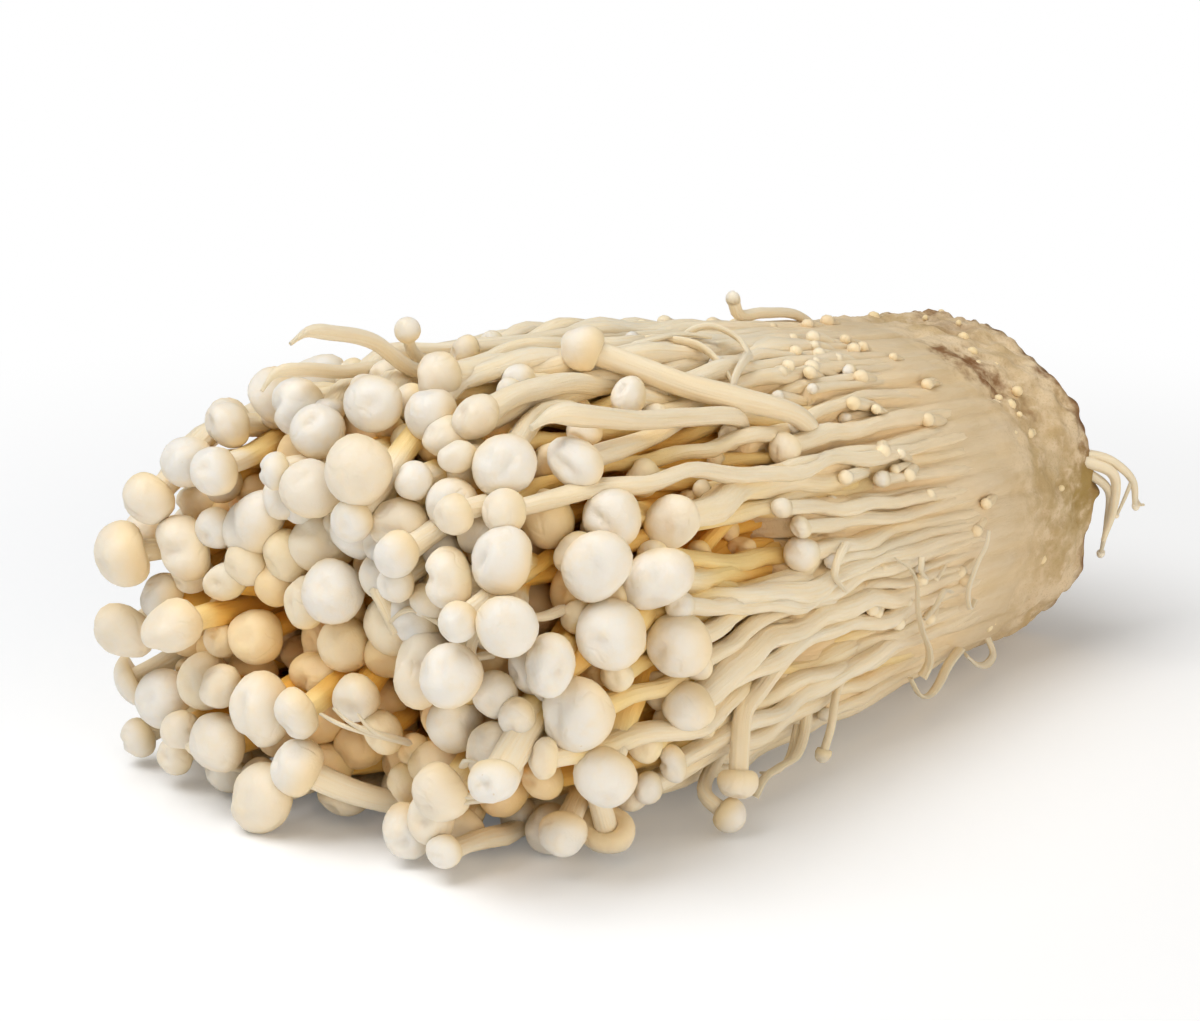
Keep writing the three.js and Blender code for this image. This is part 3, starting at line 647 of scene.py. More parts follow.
# %% Turn and dent the moulds
CAP_PROFILES = {  # (radius, height) from the top of the dome to the stem, in cap radii
    "ball": ((0, 0.98), (0.38, 0.91), (0.7, 0.69), (0.92, 0.37), (1.0, 0), (0.95, -0.34),
             (0.79, -0.6), (0.58, -0.7), (0.42, -0.6)),
    "button": ((0, 0.88), (0.42, 0.82), (0.76, 0.6), (0.97, 0.27), (1.03, -0.08), (0.95, -0.4),
               (0.76, -0.58), (0.54, -0.58), (0.42, -0.42)),
    "egg": ((0, 1.1), (0.34, 1.02), (0.63, 0.79), (0.85, 0.42), (0.95, 0.02), (0.92, -0.36),
            (0.76, -0.62), (0.56, -0.7), (0.42, -0.56)),
    "bun": ((0, 0.76), (0.44, 0.71), (0.82, 0.5), (1.04, 0.17), (1.08, -0.12), (0.97, -0.38),
            (0.74, -0.5), (0.54, -0.46), (0.42, -0.32)),
    "hat": ((0, 0.66), (0.44, 0.6), (0.84, 0.4), (1.07, 0.08), (1.12, -0.16), (1.0, -0.32),
            (0.74, -0.26), (0.5, -0.14), (0.42, -0.2)),
}
CAP_SIDES, CAP_RINGS = 24, 13
PIN_SIDES, PIN_RINGS = 10, 5
MOULD_SEED = 5
MOULD_KINDS = ("ball", "button", "ball", "egg", "ball", "bun", "button", "ball", "button", "egg",
               "ball", "button")
MOULD_OVALS, MOULD_LOBES, MOULD_DENTS = (0, 0.7, 0.2, 1.4), (0.01, 0.03, 0.02), (2, 3, 1, 4)
BUN_MOULD, HAT_MOULD, PIN_MOULD = MOULD_KINDS.index("bun"), len(MOULD_KINDS), len(MOULD_KINDS) + 1
OVAL_WIDE, OVAL_NARROW, OVAL_TILT = 0.13, 0.08, 0.06
DENT_LENGTHS, DENT_WIDTHS, DENT_DEPTHS = (0.3, 0.65), (0.18, 0.32), (0.08, 0.2)


def cap_rings(profile, rings):
    """The profile resampled to rings of even spacing, without its pole, where it lies level."""
    points = np.array(profile)
    length = np.concatenate([[0], np.cumsum(np.hypot(*np.diff(points, axis=0).T))])
    at = np.linspace(0, length[-1], rings + 1)[1:]
    return smooth_line(length, points, at, start_slope=(1, 0))


def press_dent(points, side, other, spot, wide, narrow, depth):
    """Presses a soft groove, wide along side and narrow along other, into a cap from spot."""
    fall = np.exp(-(points @ side / wide) ** 2 - (points @ other / narrow) ** 2)
    return points - spot * (depth * fall * ramp(points @ spot, 0.1, 0.5))[:, None]


def mould_points(profile, sides, rings, rng, oval, lobes, dents):
    """The points of a cap: its pole, its rings, and the pole inside the stem."""
    ring = cap_rings(profile, rings)
    around = np.linspace(0, FULL_TURN, sides, endpoint=False)
    out = 1 + sum(lobes / math.sqrt(n) * np.cos(n * (around - rng.uniform(0, FULL_TURN)))
                  for n in (2, 3, 4))
    points = [np.array([[0, 0, profile[0][1]]])]
    for radius, height in ring:
        bent = radius * (1 + (out - 1) * ramp(radius, 0.3, 1.0))
        points.append(np.column_stack([
            bent * np.cos(around) * (1 + OVAL_WIDE * oval),
            bent * np.sin(around) * (1 - OVAL_NARROW * oval),
            height + OVAL_TILT * oval * np.cos(around) * radius]))
    points = np.concatenate(points + [np.array([[0, 0, ring[-1][1]]])])
    for _ in range(dents):
        lean, turn, spin = rng.uniform(0, 1.0), rng.uniform(0, FULL_TURN), rng.uniform(0, math.pi)
        frame_of_spot = Euler((0, lean, turn)).to_matrix() @ Matrix.Rotation(spin, 3, "Z")
        points = press_dent(points, *np.array(frame_of_spot).T, rng.uniform(*DENT_LENGTHS),
                            rng.uniform(*DENT_WIDTHS), rng.uniform(*DENT_DEPTHS))
    return points


def mesh_from(name, points, faces):
    """A mesh from its points and faces."""
    mesh = bpy.data.meshes.new(name)
    mesh.from_pydata([tuple(p) for p in points], [], faces)
    mesh.validate()
    return mesh


def lathe_faces(sides, rings):
    """Faces of a form with a pole, rings of points and another pole."""
    faces = [(0, 1 + i, 1 + (i + 1) % sides) for i in range(sides)]
    for k in range(rings - 1):
        a, b = 1 + k * sides, 1 + (k + 1) * sides
        faces += [(a + i, b + i, b + (i + 1) % sides, a + (i + 1) % sides) for i in range(sides)]
    a, end = 1 + (rings - 1) * sides, 1 + rings * sides
    return faces + [(a + i, end, a + (i + 1) % sides) for i in range(sides)]


def make_mould(number, profile, sides, rings, oval, lobes, dents, seed):
    """A mould, named so that its number is its place in the collection."""
    rng = np.random.default_rng(MOULD_SEED + seed)
    points = mould_points(CAP_PROFILES[profile], sides, rings, rng, oval, lobes, dents)
    name = f"mould_{number:02d}"
    mesh = mesh_from(name, points, lathe_faces(sides, rings))
    # dome: 1 on top of a cap and 0 under it, for the cap's painted shade towards the rim
    dome = mesh.attributes.new("dome", "FLOAT", "POINT")
    dome.data.foreach_set("value", np.clip(points[:, 2] * 0.7 + 0.4, 0, 1))
    cap_moulds.objects.link(bpy.data.objects.new(name, mesh))


cap_moulds = bpy.data.collections.new("cap_moulds")
for number, kind in enumerate(MOULD_KINDS):
    make_mould(number, kind, CAP_SIDES, CAP_RINGS, MOULD_OVALS[number % 4],
               MOULD_LOBES[number % 3], MOULD_DENTS[number % 4], number)
make_mould(HAT_MOULD, "hat", CAP_SIDES, CAP_RINGS, 0.6, 0.02, 1, 40)
make_mould(PIN_MOULD, "egg", PIN_SIDES, PIN_RINGS, 0.3, 0.02, 0, 41)

# %% [markdown]
# ## Fine detail for the finishes
#
# Mushroom flesh is made of threads. On the stems they show as fine streaks that run lengthwise,
# and on the caps and the root as a soft, cloudy mottle. Both effects are shader node groups, so
# that each material can use them at its own scale.

# %% Helpers for node trees
def feed(tree, socket, value):
    """Links a socket to an input, or writes a plain value into it. None leaves it as it is."""
    if isinstance(value, bpy.types.NodeSocket):
        tree.links.new(value, socket)
    elif value is not None:
        socket.default_value = value


def add_node(tree, kind, values=None, **settings):
    """A node with its settings. Its inputs, named or numbered, take values or other sockets."""
    made = tree.nodes.new(kind)
    for key, value in settings.items():
        setattr(made, key, value)
    for key, value in (values or {}).items():
        feed(tree, made.inputs[key], value)
    return made


def result_of(tree, kind, values=None, **settings):
    """The first output of a new node."""
    return add_node(tree, kind, values, **settings).outputs[0]


def new_group(name, kind, inputs, outputs):
    """A node group with named inputs (name, kind, default) and outputs, and its input sockets."""
    tree = bpy.data.node_groups.new(name, kind)
    for label, socket, default in inputs:
        made = tree.interface.new_socket(label, in_out="INPUT", socket_type="NodeSocket" + socket)
        if default is not None:
            made.default_value = default
    for label, socket in outputs:
        tree.interface.new_socket(label, in_out="OUTPUT", socket_type="NodeSocket" + socket)
    return tree, tree.nodes.new("NodeGroupInput").outputs


def math_node(tree, operation, a, b=None):
    """The result of a sum on sockets or numbers."""
    return result_of(tree, "ShaderNodeMath", {0: a, 1: b}, operation=operation)


def times(tree, a, b):
    """One value times the other."""
    return math_node(tree, "MULTIPLY", a, b)


def plus(tree, a, b):
    """The sum of two values."""
    return math_node(tree, "ADD", a, b)


def centred(tree, value):
    """A noise from 0 to 1, brought down to lie evenly about 0."""
    return math_node(tree, "SUBTRACT", value, 0.5)


def blend_colours(tree, factor, a, b):
    """A mix of two colours, each of them a socket or (r, g, b)."""
    a, b = [(*colour, 1) if isinstance(colour, tuple) else colour for colour in (a, b)]
    return add_node(tree, "ShaderNodeMix", {0: factor, 6: a, 7: b}, data_type="RGBA").outputs[2]


def range_node(tree, value, low, high, to_low=0.0, to_high=1.0):
    """A number that goes smoothly from to_low to to_high while the value goes from low to high."""
    return result_of(tree, "ShaderNodeMapRange", {
        "Value": value, "From Min": low, "From Max": high, "To Min": to_low, "To Max": to_high},
        interpolation_type="SMOOTHSTEP")


def noise_node(tree, place, scale, detail=2.0, roughness=0.5, distortion=0.0):
    """Cloudy noise from 0 to 1, read at a place."""
    return add_node(tree, "ShaderNodeTexNoise", {
        "Vector": place, "Scale": scale, "Detail": detail, "Roughness": roughness,
        "Distortion": distortion}).outputs["Fac"]


def streak_place(tree, around, along, seed, across_scale, along_scale):
    """Where on a stem to read a noise, so that it runs lengthwise and differs from stem to stem."""
    parts = add_node(tree, "ShaderNodeSeparateXYZ", {0: around}).outputs
    axes = {2: times(tree, along, along_scale)}
    for axis in range(2):
        scaled = times(tree, parts[axis], across_scale)
        axes[axis] = plus(tree, scaled, seed)
    return result_of(tree, "ShaderNodeCombineXYZ", axes)


print("node helpers ready")

# %% The thread and mottle groups
THREAD_SEED = 61.0
SPECK_SPACING, SPECK_RARE, SPECK_EDGE = 2.6, 0.86, (0.08, 0.03)
CREASE_SIZE, CREASE_PATCH, CREASE_WIDTH, CREASE_RARE = 3.6, 5.5, 0.1, (0.52, 0.6)


def make_thread_group():
    """Streaks that run along a stem. Around and Along are where a point lies on it."""
    tree, given = new_group("flesh_threads", "ShaderNodeTree", (
        ("Around", "Vector", None), ("Along", "Float", 0.0), ("Seed", "Float", 0.0),
        ("Fineness", "Float", 3.0)), (("Threads", "Float"), ("Clouds", "Float")))
    seed = times(tree, given["Seed"], THREAD_SEED)
    fine = streak_place(tree, given["Around"], given["Along"], seed, given["Fineness"], 0.09)
    soft = streak_place(tree, given["Around"], given["Along"], seed, 1.0, 0.16)
    add_node(tree, "NodeGroupOutput", {"Threads": noise_node(tree, fine, 1.6, 4.0, 0.6),
                                       "Clouds": noise_node(tree, soft, 1.0, 4.0, 0.6)})
    return tree


def make_mottle_group():
    """Soft clouds, fine grain, rare specks and short creases. Its sizes are in millimetres."""
    tree, given = new_group("soft_mottle", "ShaderNodeTree", (
        ("Position", "Vector", None), ("Cloud size", "Float", 3.0), ("Grain size", "Float", 0.4)),
        [(label, "Float") for label in ("Clouds", "Grain", "Specks", "Creases")])
    place = given["Position"]
    clouds, grain = [
        noise_node(tree, place, math_node(tree, "DIVIDE", 1 / MM, given[size]), 3.0, 0.55)
        for size in ("Cloud size", "Grain size")]
    specks = add_node(tree, "ShaderNodeTexVoronoi", {
        "Vector": place, "Scale": 1 / (SPECK_SPACING * MM), "Randomness": 1.0}).outputs
    pick = result_of(tree, "ShaderNodeSeparateXYZ", {0: specks["Color"]})
    rare = math_node(tree, "GREATER_THAN", pick, SPECK_RARE)
    dot = range_node(tree, specks["Distance"], *SPECK_EDGE)
    folds = noise_node(tree, place, 1 / (CREASE_SIZE * MM), 0.5, distortion=0.5)
    where = noise_node(tree, place, 1 / (CREASE_PATCH * MM), 0.0)
    off = math_node(tree, "ABSOLUTE", centred(tree, folds))
    crease = range_node(tree, off, CREASE_WIDTH, 0.0)
    some = range_node(tree, where, *CREASE_RARE)
    add_node(tree, "NodeGroupOutput", {
        "Clouds": clouds, "Grain": grain, "Specks": times(tree, rare, dot),
        "Creases": times(tree, crease, some)})
    return tree


thread_group = make_thread_group()
mottle_group = make_mottle_group()
print("groups:", thread_group.name, mottle_group.name)

# %% [markdown]
# ## Materials
#
# Fresh enoki are a warm white that light sinks into. Deep between the stems the light turns
# golden, because it has bounced off the creamy flesh many times. Scattering strong enough to show
# that would turn such thin stems grey, so it stays weak here. The colours are warm instead, and
# each point knows how deep in the bunch it lies, so that golden shade is painted on the flesh
# there.

# %% Helpers for materials
SCATTER_COLOUR = (1.0, 0.88, 0.72)  # how far red, green and blue spread in the flesh


def principled(name, roughness, subsurface, specular=0.4, spread=1.2):
    """A Principled material, its tree and its shader. Light spreads in it by `spread` mm."""
    material = bpy.data.materials.new(name)
    material.use_nodes = True
    tree, shader = material.node_tree, material.node_tree.nodes["Principled BSDF"]
    for label, value in (("Roughness", roughness), ("Specular IOR Level", specular),
                         ("Subsurface Weight", subsurface), ("Subsurface Scale", spread * MM),
                         ("Subsurface Radius", SCATTER_COLOUR)):
        feed(tree, shader.inputs[label], value)
    return material, tree, shader


def finish_skin(tree, shader, colour, height, strength, depth, roughness=None):
    """Gives a shader its colour, its bump, which is `depth` mm deep, and a varied roughness."""
    bump = result_of(tree, "ShaderNodeBump", {
        "Height": height, "Strength": strength, "Distance": depth * MM})
    for label, value in (("Base Color", colour), ("Normal", bump), ("Roughness", roughness)):
        feed(tree, shader.inputs[label], value)


def place_group(tree, group, values):
    """The outputs of a group that is placed in a material with its own values."""
    return add_node(tree, "ShaderNodeGroup", values, node_tree=group).outputs


def mottle(tree, place, cloud, grain):
    """The mottle group with its sizes in millimetres."""
    return place_group(tree, mottle_group, {
        "Position": place, "Cloud size": cloud, "Grain size": grain})


def attribute(tree, name, output="Fac"):
    """A value that the mesh carries for each point."""
    return add_node(tree, "ShaderNodeAttribute", attribute_name=name).outputs[output]


def object_place(tree):
    """Where a point lies, in the frame, as no piece's object is moved."""
    return add_node(tree, "ShaderNodeTexCoord").outputs["Object"]


def paint(tree, colour, *coats):
    """Lays coats over a colour. Each has a mask, the values where it starts and where it is full,
    the most that it covers, and its own colour."""
    for mask, start, full, most, coat in coats:
        colour = blend_colours(tree, range_node(tree, mask, start, full, 0.0, most), colour, coat)
    return colour


print("helpers for materials ready")

# %% Stem flesh and cap skin
STEM_PALE, STEM_CREAM, STEM_BEIGE = (0.96, 0.87, 0.71), (0.95, 0.78, 0.52), (0.87, 0.7, 0.47)
# the middle cap colour is the caps' own cream and also painted shade towards the rim
CAP_WHITE, CAP_CREAM_AND_SHADE, CAP_TAN = (0.86, 0.825, 0.76), (0.91, 0.74, 0.48), (0.66, 0.52, 0.32)
# the next two colours are painted shade: golden just inside the bunch, orange deep in it
PAINTED_SHADE_GOLD, PAINTED_SHADE_DEEP = (0.96, 0.71, 0.29), (0.93, 0.51, 0.08)  # flesh that light and air hardly reach
BEIGE_REACH = (68.0, 34.0)  # stems turn beige towards the root between these reaches


def paint_shade_by_depth(tree, colour, most):
    """Paints shade into a colour: golden just inside the bunch and orange deep in it."""
    depth = attribute(tree, "depth")
    return paint(tree, colour, (depth, 0.0, 0.5, most, PAINTED_SHADE_GOLD), (depth, 0.4, 1.0, most, PAINTED_SHADE_DEEP))


def make_stem_flesh():
    """Cream flesh with lengthwise threads, beige towards the root, with painted shade deep inside.
    """
    material, tree, shader = principled("stem_flesh", 0.4, 0.25, spread=0.9)
    along, tone = attribute(tree, "along"), attribute(tree, "tone")
    threads = place_group(tree, thread_group, {
        "Around": attribute(tree, "rim", "Vector"), "Along": along, "Seed": tone, "Fineness": 3.4})
    streak = range_node(tree, threads["Threads"], 0.35, 0.7)
    cloud = range_node(tree, threads["Clouds"], 0.3, 0.7)
    both = times(tree, plus(tree, streak, cloud), 0.5)
    body = paint(tree, blend_colours(tree, both, STEM_PALE, STEM_CREAM),
                 (along, *BEIGE_REACH, 0.95, STEM_BEIGE), (tone, 0.0, 1.0, 0.35, STEM_CREAM))
    finish_skin(tree, shader, paint_shade_by_depth(tree, body, 0.9), threads["Threads"], 0.7, 0.35,
                range_node(tree, threads["Clouds"], 0.2, 0.8, 0.34, 0.52))
    return material


def make_cap_skin():
    """White skin with creamy clouds, specks, creases, and painted shade at its rim and deep inside.
    """
    material, tree, shader = principled("cap_skin", 0.48, 0.4, 0.35, spread=1.5)
    spots = mottle(tree, object_place(tree), 2.6, 0.35)
    skin = paint(tree, CAP_WHITE, (spots["Clouds"], 0.4, 0.8, 0.35, CAP_CREAM_AND_SHADE),
                 (attribute(tree, "tone"), 0.3, 1.0, 0.4, CAP_CREAM_AND_SHADE),
                 # painted shade: creamy on the lower side of each cap, towards the stem
                 (attribute(tree, "dome"), 0.85, 0.1, 1.0, CAP_CREAM_AND_SHADE))
    skin = blend_colours(tree, times(tree, spots["Specks"], 0.5), skin, CAP_TAN)
    soft, fine, folds = [times(tree, spots[label], weight) for label, weight in (
        ("Clouds", 1.6), ("Grain", 0.2), ("Creases", 0.55))]
    height = math_node(tree, "SUBTRACT", plus(tree, soft, fine), folds)
    finish_skin(tree, shader, paint_shade_by_depth(tree, skin, 0.4), height, 0.5, 0.3,
                range_node(tree, spots["Grain"], 0.2, 0.8, 0.42, 0.58))
    return material


stem_flesh = make_stem_flesh()
cap_skin = make_cap_skin()
print("materials:", stem_flesh.name, cap_skin.name)

# %% [markdown]
# ## The mushroom tree
#
# Each tuft is drawn as a set of lines, one for each stem, and the last point of a line carries
# the size, the turn and the mould of the cap. Geometry Nodes then do the repeated work: sweep an
# uneven ring along every line, set a cap on every end, and make all of it one mesh.

# %% Build the tree
STEM_SEED = 83.0
STEM_LUMPS = ((0.8, 0.1, 1.0), (2.0, 0.05, 0.45))  # scale round a stem and along it, and weight
CAP_LUMPS = ((210.0, 1.0, 1.0), (620.0, 2.0, 0.3))  # scale in the frame, detail and weight


def named(tree, name, kind="FLOAT"):
    """A value that the lines carry, read in the tree."""
    return result_of(tree, "GeometryNodeInputNamedAttribute", {"Name": name}, data_type=kind)


def store(tree, geometry, name, value, kind, domain):
    """Keeps a value on the geometry."""
    return result_of(tree, "GeometryNodeStoreNamedAttribute", {
        "Geometry": geometry, "Name": name, "Value": value}, data_type=kind, domain=domain)


def noise_sum(tree, parts):
    """Adds up noises, each (place, scale, detail, weight) and even about 0."""
    total = None
    for place, scale, detail, weight in parts:
        part = times(tree, centred(tree, noise_node(tree, place, scale, detail)), weight)
        total = part if total is None else plus(tree, total, part)
    return total


def push_out(tree, geometry, amount):
    """Moves a surface along its normals by a field."""
    normal = result_of(tree, "GeometryNodeInputNormal")
    offset = result_of(tree, "ShaderNodeVectorMath", {0: normal, "Scale": amount},
                       operation="SCALE")
    return result_of(tree, "GeometryNodeSetPosition", {"Geometry": geometry, "Offset": offset})


def sweep_stems(tree, given):
    """The stems: an uneven ring swept along the lines."""
    lines = result_of(tree, "GeometryNodeMeshToCurve", {0: given["Lines"]})
    ring = result_of(tree, "GeometryNodeCurvePrimitiveCircle", {
        "Resolution": given["Stem sides"], "Radius": 1.0})
    rim = store(tree, ring, "rim", result_of(tree, "GeometryNodeInputPosition"),
                "FLOAT_VECTOR", "POINT")
    size = result_of(tree, "ShaderNodeCombineXYZ", {0: 1.0, 1: given["Flatness"], 2: 1.0})
    flat = result_of(tree, "GeometryNodeTransform", {"Geometry": rim, "Scale": size})
    sweep = result_of(tree, "GeometryNodeCurveToMesh", {
        "Curve": lines, "Profile Curve": flat, "Fill Caps": True, "Scale": named(tree, "girth")})
    seed = times(tree, named(tree, "tone"), STEM_SEED)
    around, along = named(tree, "rim", "FLOAT_VECTOR"), named(tree, "along")
    total = noise_sum(tree, [
        (streak_place(tree, around, along, seed, across, lengthwise), 1.0, 2.0, weight)
        for across, lengthwise, weight in STEM_LUMPS])
    amount = times(tree, total, named(tree, "girth"))
    return push_out(tree, sweep, times(tree, amount, given["Stem unevenness"]))


def seat_caps(tree, given):
    """The caps: a mould on each line's last point, made uneven in its own way."""
    moulds = result_of(tree, "GeometryNodeCollectionInfo", {
        "Collection": given["Moulds"], "Separate Children": True, "Reset Children": True})
    turn = result_of(tree, "FunctionNodeEulerToRotation", {
        0: named(tree, "cap_turn", "FLOAT_VECTOR")})
    seat = result_of(tree, "GeometryNodeInstanceOnPoints", {
        "Points": given["Lines"], "Selection": named(tree, "has_cap", "BOOLEAN"),
        "Instance": moulds, "Pick Instance": True, "Instance Index": named(tree, "mould", "INT"),
        "Rotation": turn, "Scale": named(tree, "cap_size", "FLOAT_VECTOR")})
    real = result_of(tree, "GeometryNodeRealizeInstances", {0: seat})
    caps = store(tree, real, "is_cap", True, "BOOLEAN", "FACE")
    here = result_of(tree, "GeometryNodeInputPosition")
    total = noise_sum(tree, [(here, *lump) for lump in CAP_LUMPS])
    return push_out(tree, caps, times(tree, total, given["Cap unevenness"]))


def make_mushroom_tree():
    """Stems and caps as one mesh, with their two materials."""
    tree, given = new_group("mushroom_growth", "GeometryNodeTree", (
        ("Lines", "Geometry", None), ("Stem sides", "Int", 12), ("Flatness", "Float", 1.0),
        ("Stem unevenness", "Float", 0.5), ("Cap unevenness", "Float", 0.9 * MM),
        ("Moulds", "Collection", None), ("Flesh", "Material", None), ("Skin", "Material", None)),
        (("Mushrooms", "Geometry"),))
    both = tree.nodes.new("GeometryNodeJoinGeometry")
    tree.links.new(sweep_stems(tree, given), both.inputs[0])
    tree.links.new(seat_caps(tree, given), both.inputs[0])
    smooth = result_of(tree, "GeometryNodeSetShadeSmooth", {0: both.outputs[0]})
    real = result_of(tree, "GeometryNodeRealizeInstances", {0: smooth})
    flesh = result_of(tree, "GeometryNodeSetMaterial", {0: real, "Material": given["Flesh"]})
    skin = result_of(tree, "GeometryNodeSetMaterial", {
        0: flesh, "Selection": named(tree, "is_cap", "BOOLEAN"), "Material": given["Skin"]})
    add_node(tree, "NodeGroupOutput", {0: skin})
    return tree


mushroom_tree = make_mushroom_tree()
print("tree:", mushroom_tree.name, len(mushroom_tree.nodes), "nodes")

# %% Run a tree over a set of lines
ATTRIBUTES = {  # what a point of a line carries: its kind, its field and how numpy stores it
    "girth": ("FLOAT", "value", float), "along": ("FLOAT", "value", float),
    "tone": ("FLOAT", "value", float), "depth": ("FLOAT", "value", float),
    "has_cap": ("BOOLEAN", "value", bool), "mould": ("INT", "value", int),
    "cap_turn": ("FLOAT_VECTOR", "vector", float), "cap_size": ("FLOAT_VECTOR", "vector", float),
}


def line_set(name, lines):
    """A mesh of lines. Each line is a dict of points (in metres) and one value for each point."""
    starts = np.cumsum([0] + [len(line["points"]) for line in lines])
    edges = [(i, i + 1) for a, b in zip(starts, starts[1:]) for i in range(a, b - 1)]
    mesh = bpy.data.meshes.new(name)
    mesh.from_pydata([tuple(p) for line in lines for p in line["points"]], edges, [])
    for label, (kind, field, stored) in ATTRIBUTES.items():
        values = np.concatenate([np.asarray(line[label], float) for line in lines])
        made = mesh.attributes.new(label, kind, "POINT")
        made.data.foreach_set(field, values.ravel().astype(stored))
    return mesh


def run_tree(name, mesh, tree, settings):
    """Puts a tree on a mesh and returns the result as a plain mesh object."""
    source = bpy.data.objects.new(name + "_lines", mesh)
    bpy.context.scene.collection.objects.link(source)
    modifier = source.modifiers.new("growth", "NODES")
    modifier.node_group = tree
    for item in tree.interface.items_tree:
        if item.item_type == "SOCKET" and item.in_out == "INPUT" and item.name in settings:
            modifier[item.identifier] = settings[item.name]
    source.update_tag()
    evaluated = source.evaluated_get(bpy.context.evaluated_depsgraph_get())
    result = bpy.data.meshes.new_from_object(evaluated)
    source.modifiers.remove(modifier)
    bpy.data.objects.remove(source)
    piece = bpy.data.objects.new(name, result)
    result.name = name
    bpy.context.scene.collection.objects.link(piece)
    return piece


def grow(name, lines, sides, stem_lumps, cap_lumps, flatness, skin=cap_skin):
    """One mesh of mushrooms from their lines. Its caps are uneven by cap_lumps millimetres."""
    return run_tree(name, line_set(name + "_lines", lines), mushroom_tree, {
        "Stem sides": sides, "Stem unevenness": stem_lumps, "Cap unevenness": cap_lumps * MM,
        "Flatness": flatness, "Moulds": cap_moulds, "Flesh": stem_flesh, "Skin": skin})


def cap_fields(count, has_cap, mould, turn, size):
    """Cap values for a line of points: only its last point carries a cap."""
    last = np.arange(count) == count - 1
    return dict(has_cap=last & has_cap, mould=last * mould, cap_turn=last[:, None] * np.array(turn),
                cap_size=last[:, None] * np.array(size))


def facing(direction, spin, lean=(0, 0)):
    """The Euler turn that points +Z along a direction, spun round it, with a slight lean."""
    turn = Vector(direction).to_track_quat("Z", "Y").to_matrix()
    own = Euler((*lean, 0)).to_matrix() @ Matrix.Rotation(spin, 3, "Z")
    return tuple((turn @ own).to_euler())


print("each point of a line carries", list(ATTRIBUTES))

# %% [markdown]
# ## The tufts
#
# Every tuft of the imported model gets its mushrooms, large and late, in one mesh. A cap is drawn
# slightly larger than the room it found, because real caps do press on each other. Every point
# also carries how deep inside the bunch it lies, for the golden shade painted on its flesh.

# %% Grow every tuft
BUNCH_SEED = 11
CAP_LEAN = 0.3
PRESSED, FULL_GROWN = 1.12, 1.02  # most of a cap's size, against its room and its full size
CAP_STRETCH = (0.93, 1.06)
NECK_SHARE, NECK_LEAST = 0.62, 0.25  # the most that a neck may be, against its cap
CAP_ON_TABLE, SMALL_CAP = 0.97, 1.6
TUFT_SIDES, TUFT_STEM_LUMPS, TUFT_CAP_LUMPS, TUFT_FLATNESS = 10, 1.05, 0.7, 0.8


def pick_mould(cap, rng):
    """Any mould by chance, or the plain one for a pin head."""
    return PIN_MOULD if cap < SMALL_CAP else int(rng.integers(len(MOULD_KINDS)))


def mushroom_line(m, rng):
    """The line of one mushroom for the tree, in metres."""
    places, radius = stem_line(m, rng)
    points = to_frame(places)
    cap = min(m["full_cap"] * FULL_GROWN, m["cap"] * PRESSED)
    radius = np.minimum(radius, NECK_SHARE * cap + NECK_LEAST)
    points[-1, 2] = max(points[-1, 2], cap * CAP_ON_TABLE * MM)
    stretch = rng.uniform(*CAP_STRETCH, 3)
    mould = pick_mould(cap, rng)
    turn = facing(points[-1] - points[-4], rng.uniform(0, FULL_TURN),
                  rng.uniform(-CAP_LEAN, CAP_LEAN, 2))
    # depth: the share of painted golden shade, for the stem's points and for its cap
    depth = painted_shade_share(places)
    depth[-1] = painted_shade_share(places[-1:] + (cap, 0, 0))[0]
    return dict(points=points, girth=radius * MM, along=places[:, 0], depth=depth,
                tone=np.full(len(points), rng.uniform()),
                **cap_fields(len(points), True, mould, turn, cap * MM * stretch))


def dress(piece, node=None):
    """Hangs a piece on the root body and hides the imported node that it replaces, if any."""
    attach(piece, "root")
    if node:
        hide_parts(node)


tuft_names = [f"{ring}_{k + 1:02d}" for ring, count in zip(RING_NAMES, RING_TUFTS)
              for k in range(count)]
total_faces = 0
for number, name in enumerate(tuft_names):
    rng = np.random.default_rng(BUNCH_SEED * 100 + number)
    lines = [mushroom_line(m, rng) for m in bunch + late_bunch if m["tuft"]["name"] == name]
    piece = grow("mushrooms_" + name, lines, TUFT_SIDES, TUFT_STEM_LUMPS, TUFT_CAP_LUMPS,
                 TUFT_FLATNESS)
    dress(piece, "tuft_" + name)
    total_faces += len(piece.data.polygons)
print(len(tuft_names), "tufts,", total_faces, "faces")

# %% [markdown]
# ## The stray mushrooms
#
# A stray follows its own line of points, so the same tree draws it. The line is made smooth by
# length, and its stem tapers a little towards the hidden end.

# %% Draw the strays
HIDDEN_DEPTH, HIDDEN_SHARE = 4.5, 0.7
STRAY_MOULDS = {"left_mushroom_upper": HAT_MOULD, "hanging_mushroom_front": BUN_MOULD}
STRAY_SINK = 0.9  # the share of its radius at which a stray lies on the table
STRAY_SEED, STRAY_STEP, STRAY_TAPER = 300, 1.1, (0.8, 1.06)
STRAY_SWELL, STRAY_SWELL_RATE = 0.05, 9
TORN_FROM, TORN_THIN = 0.85, 0.75  # where a stem without a cap starts to thin, and by how much
STRAY_SIDES, STRAY_STEM_LUMPS, STRAY_CAP_LUMPS = 12, 0.5, 0.45
FAR_ALONG, FAR_SHARE = 60, 0.5  # loose flesh is paler than its distance from the cut says


def smooth_route(route, step):
    """Even steps along a smooth curve through the points of a route."""
    route = np.array(route, float)
    length = np.concatenate([[0], np.cumsum(np.linalg.norm(np.diff(route, axis=0), axis=1))])
    return smooth_line(length, route, np.linspace(0, length[-1], max(4, int(length[-1] / step))))


def hidden_start(route):
    """A point before the route's first, deeper in the bunch, so that the stem grows out of it."""
    first, second = np.array(route[:2], float)
    inward = np.array([0, 0, half_height(first[0])]) - (0, *first[1:])
    inward *= HIDDEN_DEPTH / max(np.linalg.norm(inward), HIDDEN_DEPTH)
    return tuple(first + (first - second) * HIDDEN_SHARE + inward)


